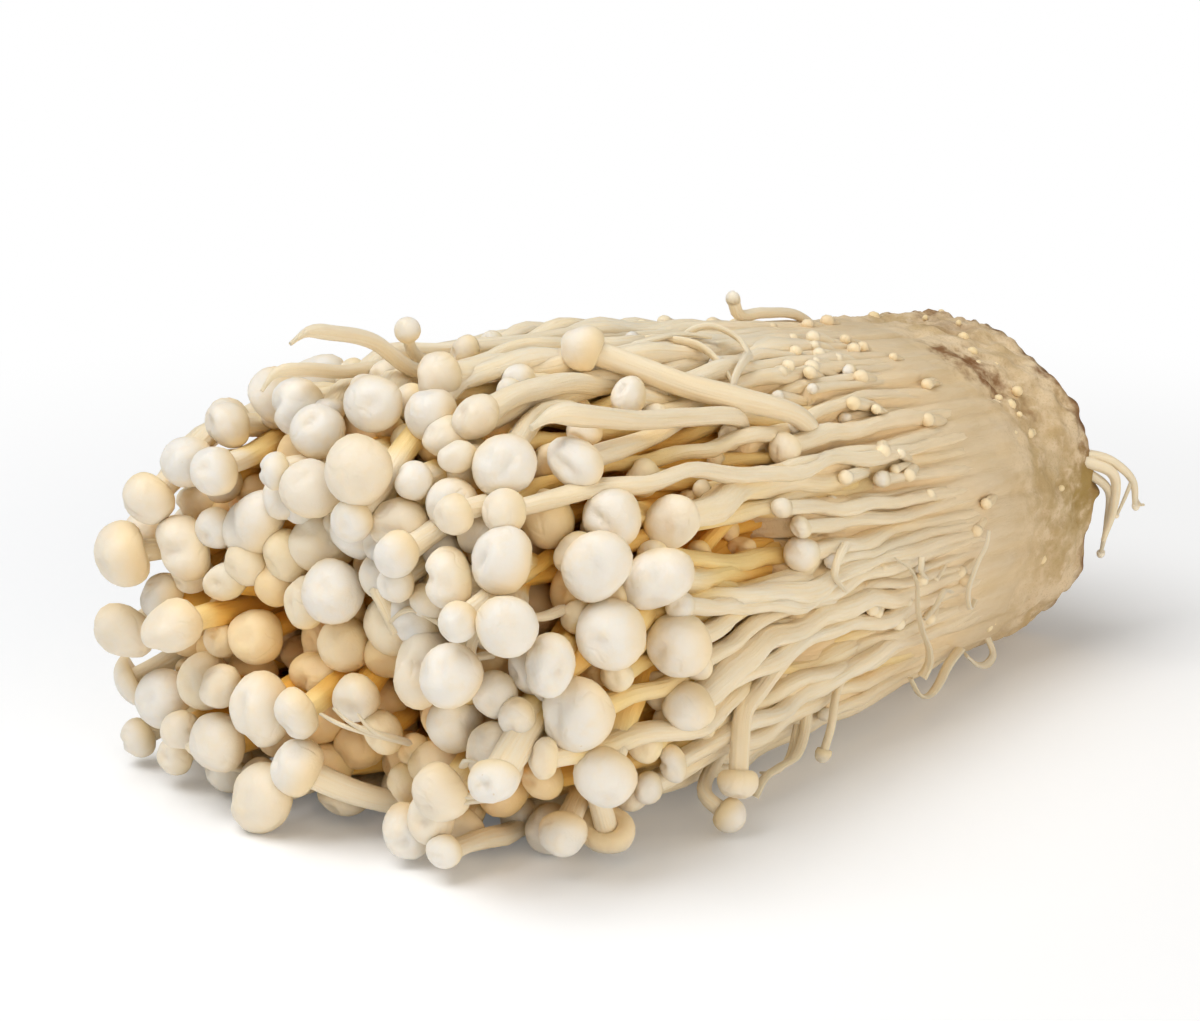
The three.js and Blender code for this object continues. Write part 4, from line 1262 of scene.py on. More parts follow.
def stray_line(cap, stem, route, rng, mould):
    """The line of a stray. Without a cap its end is torn and thin."""
    places = smooth_route((hidden_start(route),) + route, STRAY_STEP)
    points = to_frame(places)
    count = len(points)
    share = np.linspace(0, 1, count)
    swell = 1 + STRAY_SWELL * np.sin(share * STRAY_SWELL_RATE + rng.uniform(0, FULL_TURN))
    radius = stem * mix(*STRAY_TAPER, share) * swell
    if cap == 0:
        radius *= 1 - TORN_THIN * ramp(share, TORN_FROM, 1.0)
    points[:, 2] = np.maximum(points[:, 2], radius * MM * STRAY_SINK)
    mould = pick_mould(cap, rng) if mould is None else mould
    turn = facing(points[-1] - points[-3], rng.uniform(0, FULL_TURN))
    return dict(points=points, girth=radius * MM, along=places[:, 0] * FAR_SHARE + FAR_ALONG,
                depth=np.zeros(count), tone=np.full(count, rng.uniform()),
                **cap_fields(count, cap > 0, mould, turn, np.full(3, cap * MM)))


for number, (name, cap, stem, route) in enumerate(STRAYS):
    rng = np.random.default_rng(STRAY_SEED + number)
    line = stray_line(cap, stem, route, rng, STRAY_MOULDS.get(name))
    dress(grow("stray_" + name, [line], STRAY_SIDES, STRAY_STEM_LUMPS, STRAY_CAP_LUMPS, 1.0), name)
print(len(STRAYS), "strays drawn")

# %% [markdown]
# ## The root mass and the fused feet
#
# The root mass is a block of white threads and grains. The stems don't stick out of it like pins:
# near it they are fused side by side, and the skin between them sinks away only slowly. One
# surface gives both. For every direction in every section it takes the outermost stem there, and
# a soft maximum joins neighbours, so ridges run out of the block and become stems. Each point
# also keeps how far it lies in the grooves between the ridges, for golden shade painted there.

# %% Shape the root surface
ROOT_STEP, ROOT_SIDES = 0.7, 420
SKIN_END = 84  # where the skin between the stems has sunk to nothing
SKIN_DEPTH = ((0, 0.4), (10, 0.6), (18, 0.9), (26, 1.2), (34, 1.6), (44, 2.4), (56, 3.9), (68, 6.5),
              (SKIN_END, 34))
SOFTNESS, SOFT_SHARE, SOFT_FROM = 3.2, 0.4, 0.3
SUNK_AT_CUT, SUNK_CUT_REACH = 0.9, (2, 22)  # the stems' ridges are lower near the cut
SUNK_AT_END, SUNK_END_REACH = 1.5, (34, 58)  # and sink into the real stems at the far end
# painted shade in the grooves: sides looked at, full depth in mm, reaches where it covers all
GROOVE_SIDE, GROOVE_DEPTH, GROOVE_REACH = 8, 1.6, (42, 58)


def outer_skin(reach, angles, stems):
    """The direction of each point of a section's edge, and how far out the skin is there."""
    height = half_height(reach)
    edge = section_point(reach, 1, angles)
    ways = np.arctan2(edge[:, 1] - height, edge[:, 0])
    whole = np.hypot(edge[:, 0], edge[:, 1] - height)
    floor = np.maximum(0, whole - np.interp(reach, *zip(*SKIN_DEPTH)))
    y, z, r = stems[:, 0], stems[:, 1] - height, stems[:, 2]
    distance, around = np.hypot(y, z), np.arctan2(z, y)
    turn = ways[:, None] - around[None, :]
    off = distance * np.sin(turn)
    inside = (np.abs(off) < r) & (np.cos(turn) > 0)
    out = distance * np.cos(turn) + np.sqrt(np.maximum(0, r ** 2 - off ** 2))
    out -= (SUNK_AT_CUT * (1 - ramp(reach, *SUNK_CUT_REACH))
            + SUNK_AT_END * ramp(reach, *SUNK_END_REACH))
    above = np.where(inside, out, 0) - floor[:, None]
    soft = np.log(np.exp(SOFTNESS * above).sum(1) * SOFT_SHARE + 1) / SOFTNESS
    return ways, floor + soft * ramp(floor / whole, 0.0, SOFT_FROM)


def groove_depth(out):
    """How far each point of a ring lies below the highest of its neighbours, from 0 to 1."""
    shifts = range(-GROOVE_SIDE, GROOVE_SIDE + 1)
    highest = np.max([np.roll(out, shift) for shift in shifts], axis=0)
    return np.clip((highest - out) / GROOVE_DEPTH, 0, 1)


def root_points():
    """Rings of the root surface from the cut to where the skin ends, and the grooves in it."""
    crowd = bunch + late_bunch
    reaches = np.arange(0, SKIN_END + 0.01, ROOT_STEP)
    angles = np.linspace(0, FULL_TURN, ROOT_SIDES, endpoint=False)
    lines = np.array([stem_places(m, np.minimum(reaches, m["tip"])) for m in crowd])
    rings, grooves = [], []
    for k, reach in enumerate(reaches):
        at = np.array([[*lines[i, k], stem_radius(reach) * m["girth"] * STEM_FILL]
                       for i, m in enumerate(crowd) if m["tip"] > reach])
        ways, out = outer_skin(reach, angles, at)
        rings.append(np.column_stack([np.full(ROOT_SIDES, reach), out * np.cos(ways),
                                      half_height(reach) + out * np.sin(ways)]))
        # painted golden shade: full in deep grooves, and over all of the skin towards the stems
        grooves.append(np.maximum(groove_depth(out), ramp(reach, *GROOVE_REACH)))
    return np.array(rings), np.array(grooves)


rings, grooves = root_points()
print("root surface:", rings.shape[0], "rings of", rings.shape[1], "points")

# %% Roughen it and close both ends
LUMP_WAVES = 14
ROOT_LUMPS = ((0.6, 11, 1), (0.5, 5, 2), (0.28, 2.4, 3))  # height and size in mm, and seed
RIM_LUMPS, COLLAR_LUMPS = (0.35, 4.0, 4), (0.06, 2.4, 5)
CUT_LUMPS = ((0.16, 2.4, 6), (0.22, 7, 7))
ROOT_REACH, RIM_REACH = (10, 32), (0, 8)  # where the root's lumps and the rim's fade out
BEVEL_DEPTH, BEVEL_REACH = 0.9, 2.2  # the cut's edge is worn round
ROOT_SETTLED, LEAST_HEIGHT = 0.9, 0.03
CUT_STEPS, CUT_HOLLOW, SMOOTH_RIM_RINGS = 44, 0.2, 3


def lumps(points, height, size, seed):
    """Smooth noise at 3-D points, from -height to height, with features of about `size` mm."""
    rng = np.random.default_rng(seed)
    total = np.zeros(len(points))
    for _ in range(LUMP_WAVES):
        way = rng.normal(size=3)
        way *= FULL_TURN / size * rng.uniform(0.6, 1.4) / np.linalg.norm(way)
        total += np.sin(points @ way + rng.uniform(0, FULL_TURN))
    return height * (total / LUMP_WAVES ** 0.5 / 1.4)


def roughen(rings):
    """Lumps, grains and an uneven rim on the root; the skin between the stems stays smooth."""
    flat = rings.reshape(-1, 3)
    middle = np.column_stack([flat[:, 0], np.zeros(len(flat)), half_height(flat[:, 0])])
    out = flat - middle
    out /= np.maximum(np.linalg.norm(out, axis=1), LEAST_DISTANCE)[:, None]
    on_root = 1 - ramp(flat[:, 0], *ROOT_REACH)
    rim = 1 - ramp(flat[:, 0], *RIM_REACH)
    amount = on_root * sum(lumps(flat, *kind) for kind in ROOT_LUMPS)
    amount += rim * lumps(flat, *RIM_LUMPS) - BEVEL_DEPTH * (1 - ramp(flat[:, 0], 0, BEVEL_REACH))
    amount += (1 - on_root) * lumps(flat, *COLLAR_LUMPS)
    flat = flat + out * amount[:, None]
    flat[:, 2] = np.maximum(flat[:, 2] - ROOT_SETTLED * on_root, LEAST_HEIGHT)
    return flat.reshape(rings.shape)


def close_cut(ring):
    """Rings from the rim to the middle of the cut face, which the knife left slightly rough."""
    middle = np.array([0.0, 0.0, ring[:, 2].mean()])
    inner = []
    for k in range(1, CUT_STEPS):
        share = 1 - k / CUT_STEPS
        points = middle + (ring - middle) * share
        rough = sum(lumps(points, *kind) for kind in CUT_LUMPS)
        points[:, 0] = ring[:, 0] * share + rough * ramp(k, 0, SMOOTH_RIM_RINGS) + CUT_HOLLOW
        inner.append(points)
    return inner, middle + (CUT_HOLLOW, 0, 0)


rings = roughen(rings)
cut_rings, cut_middle = close_cut(rings[0])
all_rings = np.array(cut_rings[::-1] + list(rings))
root_mesh = mesh_from("root_mass_skin", to_frame(np.concatenate(
    [[cut_middle], all_rings.reshape(-1, 3), [all_rings[-1].mean(axis=0)]])),
    lathe_faces(ROOT_SIDES, len(all_rings)))
bm = bmesh.new()
bm.from_mesh(root_mesh)
bmesh.ops.recalc_face_normals(bm, faces=bm.faces)
bm.to_mesh(root_mesh)
bm.free()
root_mesh.shade_smooth()
# how much painted golden shade each point of the skin gets; none on the cut face
groove_shade = root_mesh.attributes.new("groove_shade", "FLOAT", "POINT")
groove_shade.data.foreach_set("value", np.concatenate(
    [np.zeros(1 + len(cut_rings) * ROOT_SIDES), grooves.ravel(), [1.0]]))
print("root mesh:", len(root_mesh.polygons), "faces")

# %% [markdown]
# ## Root colours
#
# The root is beige and matt. Brown patches stain it where it met the growing bottle, the knife
# left a brown rim, and towards the stems it clears to cream. The cut face shows the growing
# medium: darker crumbs held by white threads. All of that is masks between colours, which the
# mottle group breaks up, and a stain is a small group of its own, placed once for each patch.

# %% Root material
ROOT_BEIGE, ROOT_PALE, ROOT_BROWN = (0.54, 0.39, 0.21), (0.74, 0.59, 0.4), (0.22, 0.1, 0.035)
ROOT_OLIVE, COLLAR_CREAM, CRUMB = (0.38, 0.26, 0.09), (0.71, 0.58, 0.4), (0.55, 0.4, 0.23)
# the middle colour below is golden shade painted into the grooves between the ridges
CUT_TAN, PAINTED_GROOVE_SHADE, COLLAR_TAN = (0.66, 0.5, 0.3), (0.82, 0.63, 0.36), (0.66, 0.51, 0.31)
STAINS = (  # reach, y, z, size in millimetres, strength and colour of each patch
    (19.5, -14, 51.0, 3.4, 0.9, ROOT_BROWN), (17.8, -17.2, 49.2, 4.4, 1.0, ROOT_BROWN),
    (16.0, -21.8, 45.8, 3.4, 0.9, ROOT_BROWN), (13.0, -25.0, 42.0, 2.6, 0.6, ROOT_BROWN),
    (0.8, -22.5, 45.0, 4.6, 1.0, ROOT_BROWN), (0.0, -27.0, 38.5, 4.6, 0.9, ROOT_BROWN),
    (0.5, -29.6, 31.0, 5.0, 1.0, ROOT_BROWN), (2.5, -30.4, 27.5, 5.5, 0.95, ROOT_OLIVE),
    (7.0, -30.4, 23.0, 7.0, 0.5, ROOT_OLIVE), (13.0, -30.0, 31.0, 7.0, 0.35, ROOT_OLIVE),
    (2.0, 8.0, 51.0, 7.0, 0.9, ROOT_BROWN), (9.0, 26.0, 38.0, 7.0, 0.8, ROOT_BROWN),
    (4.0, 30.0, 22.0, 8.0, 0.6, ROOT_OLIVE), (8.0, -5.0, 51.5, 5.0, 0.4, ROOT_BROWN),
)
ROOT_CLEARS, COLLAR_CLEARS = (12.0, 30.0), (24.0, 46.0)  # reaches where root and collar turn paler
RIM_WIDTH, STREAK_LENGTHEN, RAGGEDNESS = 3.2, 0.16, 2.6


def make_stain_group():
    """A soft round patch about a place, broken up at its edge by a ragged mask."""
    tree, given = new_group("stain_patch", "ShaderNodeTree", (
        ("Position", "Vector", None), ("Centre", "Vector", None), ("Size", "Float", 0.004),
        ("Ragged", "Float", 0.5), ("Strength", "Float", 1.0)), (("Patch", "Float"),))
    apart = add_node(tree, "ShaderNodeVectorMath", {0: given["Position"], 1: given["Centre"]},
                     operation="DISTANCE").outputs["Value"]
    share = math_node(tree, "DIVIDE", apart, given["Size"])
    edge = times(tree, centred(tree, given["Ragged"]), RAGGEDNESS)
    patch = range_node(tree, plus(tree, share, edge), 1.35, 0.2)
    add_node(tree, "NodeGroupOutput", {0: times(tree, patch, given["Strength"])})
    return tree


def make_root_skin():
    """The root, the collar of fused feet, painted shade in its grooves, stains and brown rim."""
    material, tree, shader = principled("root_skin", 0.66, 0.25, 0.2)
    place = object_place(tree)
    drawn_out = result_of(tree, "ShaderNodeMapping", {
        "Vector": place, "Scale": (STREAK_LENGTHEN, 1.0, 1.0)})
    large, fine = mottle(tree, place, 7.0, 1.1), mottle(tree, place, 2.2, 0.35)
    streaks = mottle(tree, drawn_out, 2.4, 0.5)
    x = result_of(tree, "ShaderNodeSeparateXYZ", {0: place})
    cut_x, *clears = [(CUT_X - reach) * MM for reach in (0.0, *ROOT_CLEARS, *COLLAR_CLEARS)]
    stem_side = range_node(tree, x, *clears[:2])
    root = paint(tree, ROOT_BEIGE, (large["Clouds"], 0.35, 0.65, 1.0, ROOT_PALE),
                 (fine["Clouds"], 0.5, 0.72, 0.8, ROOT_PALE),
                 (fine["Grain"], 0.5, 0.72, 0.35, ROOT_OLIVE))
    collar = paint(tree, COLLAR_CREAM, (streaks["Clouds"], 0.35, 0.7, 1.0, COLLAR_TAN),
                   (x, *clears[2:], 1.0, STEM_BEIGE))
    skin = blend_colours(tree, stem_side, root, collar)
    # painted shade: golden in the grooves, and over all of the skin towards the stems
    groove_shade = times(tree, attribute(tree, "groove_shade"), 0.45)
    skin = blend_colours(tree, groove_shade, skin, PAINTED_GROOVE_SHADE)
    for reach, y, z, size, strength, colour in STAINS:
        patch = place_group(tree, stain_group, {
            "Position": place, "Centre": tuple(to_frame([(reach, y, z)])[0]), "Size": size * MM,
            "Ragged": fine["Clouds"], "Strength": strength})
        skin = blend_colours(tree, patch[0], skin, colour)
    rim = times(tree, range_node(tree, x, cut_x - RIM_WIDTH * MM, cut_x),
                range_node(tree, fine["Clouds"], 0.38, 0.58, 0.15, 0.95))
    skin = blend_colours(tree, rim, skin, ROOT_BROWN)
    grain = plus(tree, large["Grain"], fine["Clouds"])
    height = result_of(tree, "ShaderNodeMix", {0: stem_side, 2: grain, 3: streaks["Grain"]},
                       data_type="FLOAT")
    finish_skin(tree, shader, skin, height, 0.5, 0.45,
                range_node(tree, stem_side, 0.0, 1.0, 0.82, 0.5))
    return material


def make_cut_face():
    """Crumbs of growing medium in pale threads."""
    material, tree, shader = principled("cut_face", 0.85, 0.05, 0.25)
    place = object_place(tree)
    coarse, fine = mottle(tree, place, 9.0, 1.8), mottle(tree, place, 2.6, 0.5)
    face = paint(tree, CUT_TAN, (coarse["Clouds"], 0.35, 0.65, 1.0, ROOT_BEIGE),
                 (coarse["Grain"], 0.5, 0.68, 0.7, CRUMB),
                 (fine["Clouds"], 0.52, 0.7, 0.65, ROOT_PALE),
                 (fine["Grain"], 0.6, 0.74, 0.6, ROOT_BROWN))
    height = plus(tree, coarse["Grain"], fine["Grain"])
    finish_skin(tree, shader, face, height, 0.5, 0.5)
    return material


stain_group = make_stain_group()
for material in (make_root_skin(), make_cut_face()):
    root_mesh.materials.append(material)
cut_faces = len(cut_rings) * ROOT_SIDES
indices = np.zeros(len(root_mesh.polygons), int)
indices[:cut_faces] = 1
root_mesh.polygons.foreach_set("material_index", indices)
root_piece = bpy.data.objects.new("root_mass_skin", root_mesh)
bpy.context.scene.collection.objects.link(root_piece)
dress(root_piece, "root_mass")
print("cut face:", cut_faces, "faces")

# %% [markdown]
# ## Peelings, threads, strands, grains and stubs
#
# Picking and packing tears a bunch a little. Strips peel off the stems and curl, threads and torn
# fans hang between them, and limp strands hang from the edge of the root. Pin heads too small to
# have a stem sit on the root like grains of rice, and short blunt mushrooms that stopped growing
# lie among the feet of the others. All of them are lines again, swept by the same tree.

# %% Torn and hanging bits
BIT_STEP = 0.7
BIT_SINK = 0.7  # the share of its radius at which a bit lies on the table
BIT_FAR_ALONG = 75
TONE_TURN = 7.3  # spreads the tones of the bits by their thickness
FAN_BOW, FAN_THIN = 0.3, 0.35


def bit(route, thick, thin, cap=0.0, depth=0.0, along=None):
    """A strip or thread: its route in reach, y and z, its radius at both ends, a cap and painted
    shade. Its flesh is as pale as far from the root, or `along` mm further on than it is."""
    places = smooth_route(route, BIT_STEP)
    points = to_frame(places)
    count = len(points)
    radius = mix(thick, thin, np.linspace(0, 1, count))
    points[:, 2] = np.maximum(points[:, 2], radius * MM * BIT_SINK)
    reach = places[:, 0]
    return dict(points=points, girth=radius * MM, depth=np.full(count, depth),
                along=reach * FAR_SHARE + BIT_FAR_ALONG if along is None else reach + along,
                tone=np.full(count, (thick * TONE_TURN) % 1),
                **cap_fields(count, cap > 0, PIN_MOULD, facing(points[-1] - points[-2], 0),
                             np.full(3, cap * MM)))


def fan(start, ends, thick, bow):
    """Threads that spread from one place to several ends, each bowed a little."""
    lines = []
    for end in ends:
        a, b = np.array((start, end), float)
        halfway = (a + b) / 2 + np.array(bow) * np.linalg.norm(b - a) * FAN_BOW
        lines.append(bit((a, halfway, b), thick, thick * FAN_THIN))
    return lines


peelings = [
    bit(((76, -3, 57.5), (77.3, -4, 59.6), (76.4, -8, 60.4), (74.9, -12, 60), (75.2, -17, 57.5),
         (75.9, -20, 55.2)), 1.6, 0.8),
    bit(((72, -5, 58), (71.4, -6, 60.2), (69.3, -8, 61.4), (66.6, -12, 59.6), (67.8, -15, 58),
         (71.5, -17.6, 58.6), (75.9, -19.4, 56.6), (77.5, -20.2, 54.4)), 1.3, 0.5),
    bit(((84, -5, 60.2), (80, -7.5, 61.2), (75, -8.5, 61.2), (71, -10.5, 60.4)), 0.9, 0.6),
    bit(((71, -36.6, 34.9), (74, -37.9, 34.2), (75.6, -38.3, 32.2), (72.8, -38.2, 28.6)), 0.9, 0.4),
    bit(((134, -9, 35.5), (136.4, -10.8, 37.5), (136.6, -12.6, 35.4), (136, -13.6, 32.4)),
        1.5, 0.8),
    bit(((136.2, -13.2, 34), (135.6, -16, 36.2), (134, -19.4, 35), (131.6, -22.6, 31.6)), 0.8, 1.2),
    bit(((122, -31, 36.4), (127, -31.4, 36.6), (131.4, -29.2, 37.6)), 1.35, 1.25),
    bit(((130, -25.2, 30.6), (133.6, -25.4, 31.6), (133.4, -26, 34.2), (130.6, -28, 36.2)),
        1.1, 0.6),
    bit(((137, 18, 5), (141.5, 18.6, 7), (145.2, 18.8, 10)), 1.7, 1.8),
    bit(((135.4, -25.6, 16.6), (136, -27, 18), (134.4, -28.8, 17.2), (132.4, -29.6, 14.6)),
        0.7, 0.35),
    bit(((115, -11.4, 5.2), (119, -12.4, 3.6), (122.4, -12.8, 2.8)), 1.9, 1.5),
]
threads = [
    bit(((60, -36.6, 30.2), (57.4, -37.4, 28.2), (55.8, -37.4, 25.6), (55.2, -37.2, 21.8),
         (52.6, -36.2, 17.2), (49.4, -35, 13.2), (48.2, -34, 10.2), (48.8, -33.4, 8.4)),
        0.35, 0.95),
    bit(((43.8, -34.4, 20.8), (46.4, -35.2, 21.8), (49, -35.6, 20), (51.4, -35.6, 18.6)),
        0.6, 0.35),
    bit(((53.8, -36.6, 29), (54.6, -37.2, 27.2), (52.8, -36.8, 25.6)), 0.5, 0.3),
    bit(((33.2, -33.0, 27.6), (34.8, -33.8, 25.8), (36.6, -33.8, 23.7), (38.6, -33.6, 18.6),
         (37.6, -33.4, 16.4), (36, -33.0, 17.4)), 0.3, 0.5),
    bit(((22, -25, 6), (22.4, -26.6, 3.8), (25, -27.6, 3.0), (28.8, -28.4, 4.0), (32, -28.6, 6.4)),
        0.7, 0.6),
    bit(((34, -29, 8), (39, -30.4, 6.6), (41.5, -30.8, 4.6), (43.6, -31, 3.6), (46.5, -31.4, 4.4),
         (48.6, -31, 7.6)), 0.9, 0.6),
    bit(((74, -32.5, 10), (77.3, -34.6, 7.0), (80.6, -36, 5.4), (84.6, -36.4, 5),
         (87.8, -36.4, 4.2), (89.2, -36, 1.8)), 0.9, 0.7),
    bit(((76, -32.4, 8), (80, -34.2, 4.6), (83, -35, 3.6), (86.8, -35, 4.4)), 0.6, 0.4),
    *fan((133.5, -12.5, 16), ((141.4, -4.4, 20.0), (141.0, -6.6, 21.2), (139.6, -9.8, 20.8)),
         1.2, (1.4, -0.3, 0.6)),
    *fan((131.5, -28.0, 11.8), ((137.4, -20.8, 10.2), (137.0, -22.0, 8.6), (135.6, -24.8, 10.4)),
         1.1, (1.0, -0.3, 0.6)),
]
strands = [
    bit(((3.5, -26.5, 32.5), (-1, -31, 31), (-3.6, -33.4, 27.6), (-4, -33.8, 23.5)),
        1.2, 0.55, 0.7),
    bit(((-3.4, -33.2, 27.6), (-2.6, -32.4, 24.4), (-1.8, -31.8, 22)), 0.45, 0.3, 0.45),
    bit(((-3.9, -33.7, 25), (-4.2, -34.6, 23.8), (-4.1, -35.2, 24)), 0.4, 0.3),
    bit(((3, -27.5, 30), (-0.8, -30.4, 26.5), (-2.6, -29.4, 20), (-3.4, -28, 14.5)),
        1.1, 0.35, 0.75),
    bit(((3, -28, 31.5), (-0.6, -31.6, 29), (-1.2, -31.6, 23.5), (0.2, -30.8, 18)), 1.4, 0.5),
]
print(len(peelings), "peelings,", len(threads), "threads,", len(strands), "strands")

# %% Grains on the root and stubs above it
GRAINS, GRAIN_SEED = 80, 77
STUBS, STUB_SEED = 64, 78
GROWN_ARC = (-0.75, math.pi + 0.75)  # the part of the way round that doesn't lie on the table
GRAIN_REACH, GRAIN_WAVE, GRAIN_SPREAD = 15, (6, 2, 1.2), 4.5  # a band that wanders round the root
GRAIN_FOOT_RHO, GRAIN_TOP_RHO, GRAIN_SIZE, GRAIN_ALONG = 0.92, (0.925, 0.965), (0.5, 0.7), 30
PIN_HEADS = ((-11, 55.1, 48.5), (-13.2, 54.6, 50), (-14.4, 53.6, 47.2), (-16, 54, 55),
             (-15, 54.2, 53), (-9, 55.8, 46.5))  # y, z and reach of the cluster on top
STUB_REACH, STUB_SIZE, STUB_LENGTH, STUB_ALONG = (30, 66), (0.75, 1.25), (4, 9), 6


def on_section(reach, rho, angle):
    """The place (reach, y, z) of a point of a section."""
    return np.array([reach, *section_point(reach, rho, angle)])


def root_grains(rng):
    """Pin heads that sit on the root and between the feet of the stems, most of them in a band."""
    lines = []
    high, turns, start = GRAIN_WAVE
    for _ in range(GRAINS):
        angle = rng.uniform(*GROWN_ARC)
        reach = GRAIN_REACH + high * math.sin(turns * angle + start) + rng.normal() * GRAIN_SPREAD
        base = on_section(reach, GRAIN_FOOT_RHO, angle)
        tip = reach + rng.uniform(0, 1.5)
        top = np.array([tip, *section_point(reach, rng.uniform(*GRAIN_TOP_RHO), angle)])
        size = GRAIN_SIZE[0] + GRAIN_SIZE[1] * rng.uniform() ** 2
        # 0.2: a little painted shade where the grains sit among the feet
        lines.append(bit((base, (base + top) / 2, top), size * 0.8, size * 0.8, size, 0.2,
                         GRAIN_ALONG))
    for y, z, reach in PIN_HEADS:
        lines.append(bit(((reach - 6, y, z - 3), (reach - 2, y, z - 0.6), (reach, y, z)), 0.8, 0.9,
                         rng.uniform(0.9, 1.3)))
    return lines


def collar_stubs(rng):
    """Short blunt mushrooms that stopped growing and lie along the others above the root."""
    lines = []
    for _ in range(STUBS):
        angle, reach = rng.uniform(*GROWN_ARC), rng.uniform(*STUB_REACH)
        size, long = rng.uniform(*STUB_SIZE), rng.uniform(*STUB_LENGTH)
        base = on_section(reach - long, 0.9, angle)
        middle = on_section(reach - long * 0.35, 0.965, angle)
        top = on_section(reach, rng.uniform(0.97, 1.0), angle + rng.normal() * 0.02)
        # 0.1: a little painted shade among the feet
        lines.append(bit((base, middle, top), size * 0.8, size * 0.9, size, 0.1, STUB_ALONG))
    return lines


BITS = (("peelings", peelings, 0.45), ("threads", threads, 0.45), ("root_strands", strands, 0.8),
        ("root_grains", root_grains(np.random.default_rng(GRAIN_SEED)), 1.0),
        ("collar_stubs", collar_stubs(np.random.default_rng(STUB_SEED)), 0.9))
BIT_SIDES, BIT_STEM_LUMPS, BIT_CAP_LUMPS = 8, 0.5, 0.2
for name, lines, flatness in BITS:
    piece = grow(name, lines, BIT_SIDES, BIT_STEM_LUMPS, BIT_CAP_LUMPS, flatness, stem_flesh)
    dress(piece)
    print(name, len(lines), "lines,", len(piece.data.polygons), "faces")

# %% [markdown]
# ## Camera, floor and light
#
# The camera looks at the near flank and the caps, from slightly above. The floor is a plain pale
# sheet: near the bunch it takes the shadow, and further out it turns into plain white for the
# camera only. One large soft lamp stands above, a little to the left and behind. A plain bright
# room and two low, cream reflector cards in front lift the shadows without a shadow of their own.

# %% Camera
CAMERA_AZIMUTH, CAMERA_ELEVATION, CAMERA_DISTANCE = math.radians(-46), math.radians(17), 0.48
CAMERA_TARGET = Vector((CUT_X * MM - 0.079, 0.0041, 0.033))
back = Vector((math.sin(CAMERA_AZIMUTH) * math.cos(CAMERA_ELEVATION),
               -math.cos(CAMERA_AZIMUTH) * math.cos(CAMERA_ELEVATION), math.sin(CAMERA_ELEVATION)))
camera_data = bpy.data.cameras.new("camera")
camera_data.lens, camera_data.sensor_width = 97.5, 36
camera = bpy.data.objects.new("camera", camera_data)
camera.location = CAMERA_TARGET + back * CAMERA_DISTANCE
camera.rotation_euler = back.to_track_quat("Z", "Y").to_euler()
bpy.context.scene.collection.objects.link(camera)
bpy.context.scene.camera = camera
print("camera at", [round(v, 3) for v in camera.location])

# %% Floor
FLOOR_WIDTH = 6.0
SHADOW_NEAR, SHADOW_FAR = 0.1, 0.26
FLOOR_LIFT = 0.1  # brings the lit floor up to plain white for the camera
FLOOR_GREY, LIFT_TINT, WHITE = (0.945, 0.955, 0.97, 1), (0.9, 0.95, 1, 1), (1, 1, 1, 1)


def empty_tree(owner):
    """The node tree of a material or a world, with nothing in it yet."""
    owner.use_nodes = True
    owner.node_tree.nodes.clear()
    return owner.node_tree


def mix_shaders(tree, factor, a, b):
    """Shader a, or b where the factor is 1."""
    return result_of(tree, "ShaderNodeMixShader", {0: factor, 1: a, 2: b})


def seen_by_camera(tree):
    """1 for what the camera sees itself, and 0 for light and reflections."""
    return add_node(tree, "ShaderNodeLightPath").outputs["Is Camera Ray"]


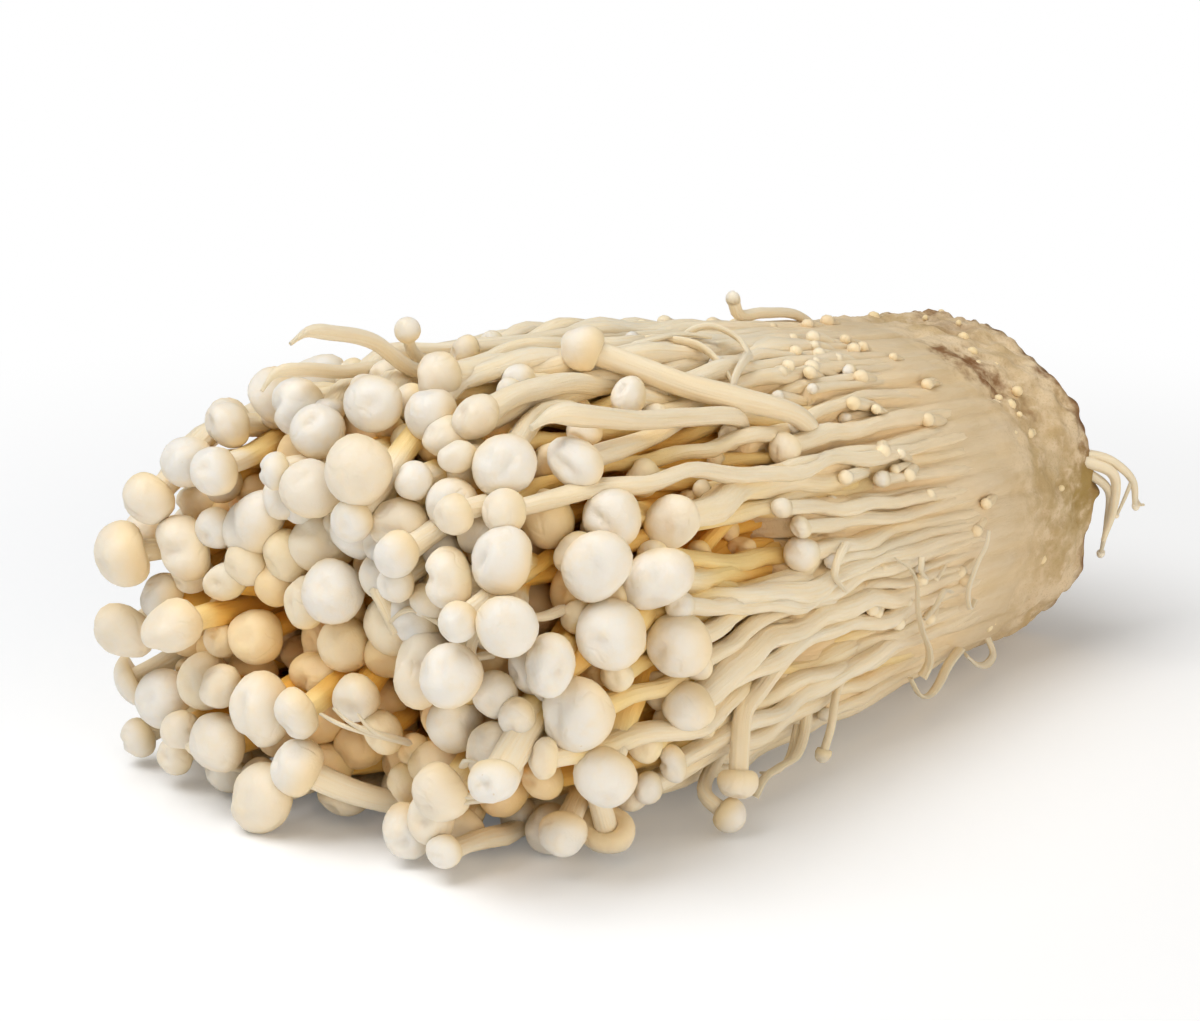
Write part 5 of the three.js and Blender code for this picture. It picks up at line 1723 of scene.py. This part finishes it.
def make_floor():
    """A pale sheet that takes the shadow and turns plain white further out."""
    bpy.ops.mesh.primitive_plane_add(size=FLOOR_WIDTH, location=(0, 0, 0))
    floor = bpy.context.object
    floor.name = "floor"
    material = bpy.data.materials.new("floor_white")
    tree = empty_tree(material)
    away = add_node(tree, "ShaderNodeVectorMath", {0: object_place(tree)}, operation="LENGTH")
    far = range_node(tree, away.outputs["Value"], SHADOW_NEAR, SHADOW_FAR)
    seen = seen_by_camera(tree)
    sheet = result_of(tree, "ShaderNodeBsdfDiffuse", {"Color": FLOOR_GREY})
    lift = result_of(tree, "ShaderNodeEmission", {
        "Color": LIFT_TINT, "Strength": times(tree, seen, FLOOR_LIFT)})
    near = result_of(tree, "ShaderNodeAddShader", {0: sheet, 1: lift})
    white = result_of(tree, "ShaderNodeEmission", {"Color": WHITE, "Strength": 1.0})
    add_node(tree, "ShaderNodeOutputMaterial", {
        0: mix_shaders(tree, times(tree, far, seen), near, white)})
    floor.data.materials.append(material)
    floor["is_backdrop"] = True


make_floor()
print("floor:", FLOOR_WIDTH, "m")

# %% Light
WORLD_LIGHT = 0.25
WARM_ROOM, WARM_CARD = (1.0, 0.98, 0.95, 1), (1.0, 0.91, 0.78)  # cream walls and reflector cards
LAMP_AIM = Vector((0, 0, 0.03))


def make_world():
    """A dim warm room that the camera sees as plain white."""
    bpy.context.scene.world = bpy.data.worlds.new("room")
    tree = empty_tree(bpy.context.scene.world)
    room, white = [result_of(tree, "ShaderNodeBackground", {"Color": colour, "Strength": strength})
                   for colour, strength in ((WARM_ROOM, WORLD_LIGHT), (WHITE, 1.0))]
    add_node(tree, "ShaderNodeOutputWorld", {
        0: mix_shaders(tree, seen_by_camera(tree), room, white)})


def make_lamp(name, place, size, watts, colour=(1, 1, 1)):
    """A square lamp that faces the bunch."""
    lamp = bpy.data.lights.new(name, "AREA")
    lamp.size, lamp.energy, lamp.color = size, watts, colour
    lamp_object = bpy.data.objects.new(name, lamp)
    lamp_object.location = place
    lamp_object.rotation_euler = (Vector(place) - LAMP_AIM).to_track_quat("Z", "Y").to_euler()
    bpy.context.scene.collection.objects.link(lamp_object)


make_world()
make_lamp("key_lamp", (-0.34, 0.16, 0.83), 0.7, 6.3)
make_lamp("front_fill", (-0.35, -0.8, 0.13), 0.6, 3.1, WARM_CARD)
make_lamp("side_fill", (0.4, -0.8, 0.14), 0.7, 2.0, WARM_CARD)
bpy.context.scene.view_settings.view_transform = "Standard"
print("world", WORLD_LIGHT)

# %% [markdown]
# ## Last look
#
# The moulds have done their work, so they go. Then the box of the dressed model is printed next
# to the imported model's, since the looks must not change the size.

# %% Clear up and finish
for mould in list(cap_moulds.objects):
    bpy.data.objects.remove(mould)
bpy.data.collections.remove(cap_moulds)
visual_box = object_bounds()
for label, box in (("packed", cad_box), ("dressed", visual_box)):
    print(label, [[round(v / MM, 1) for v in corner] for corner in box])
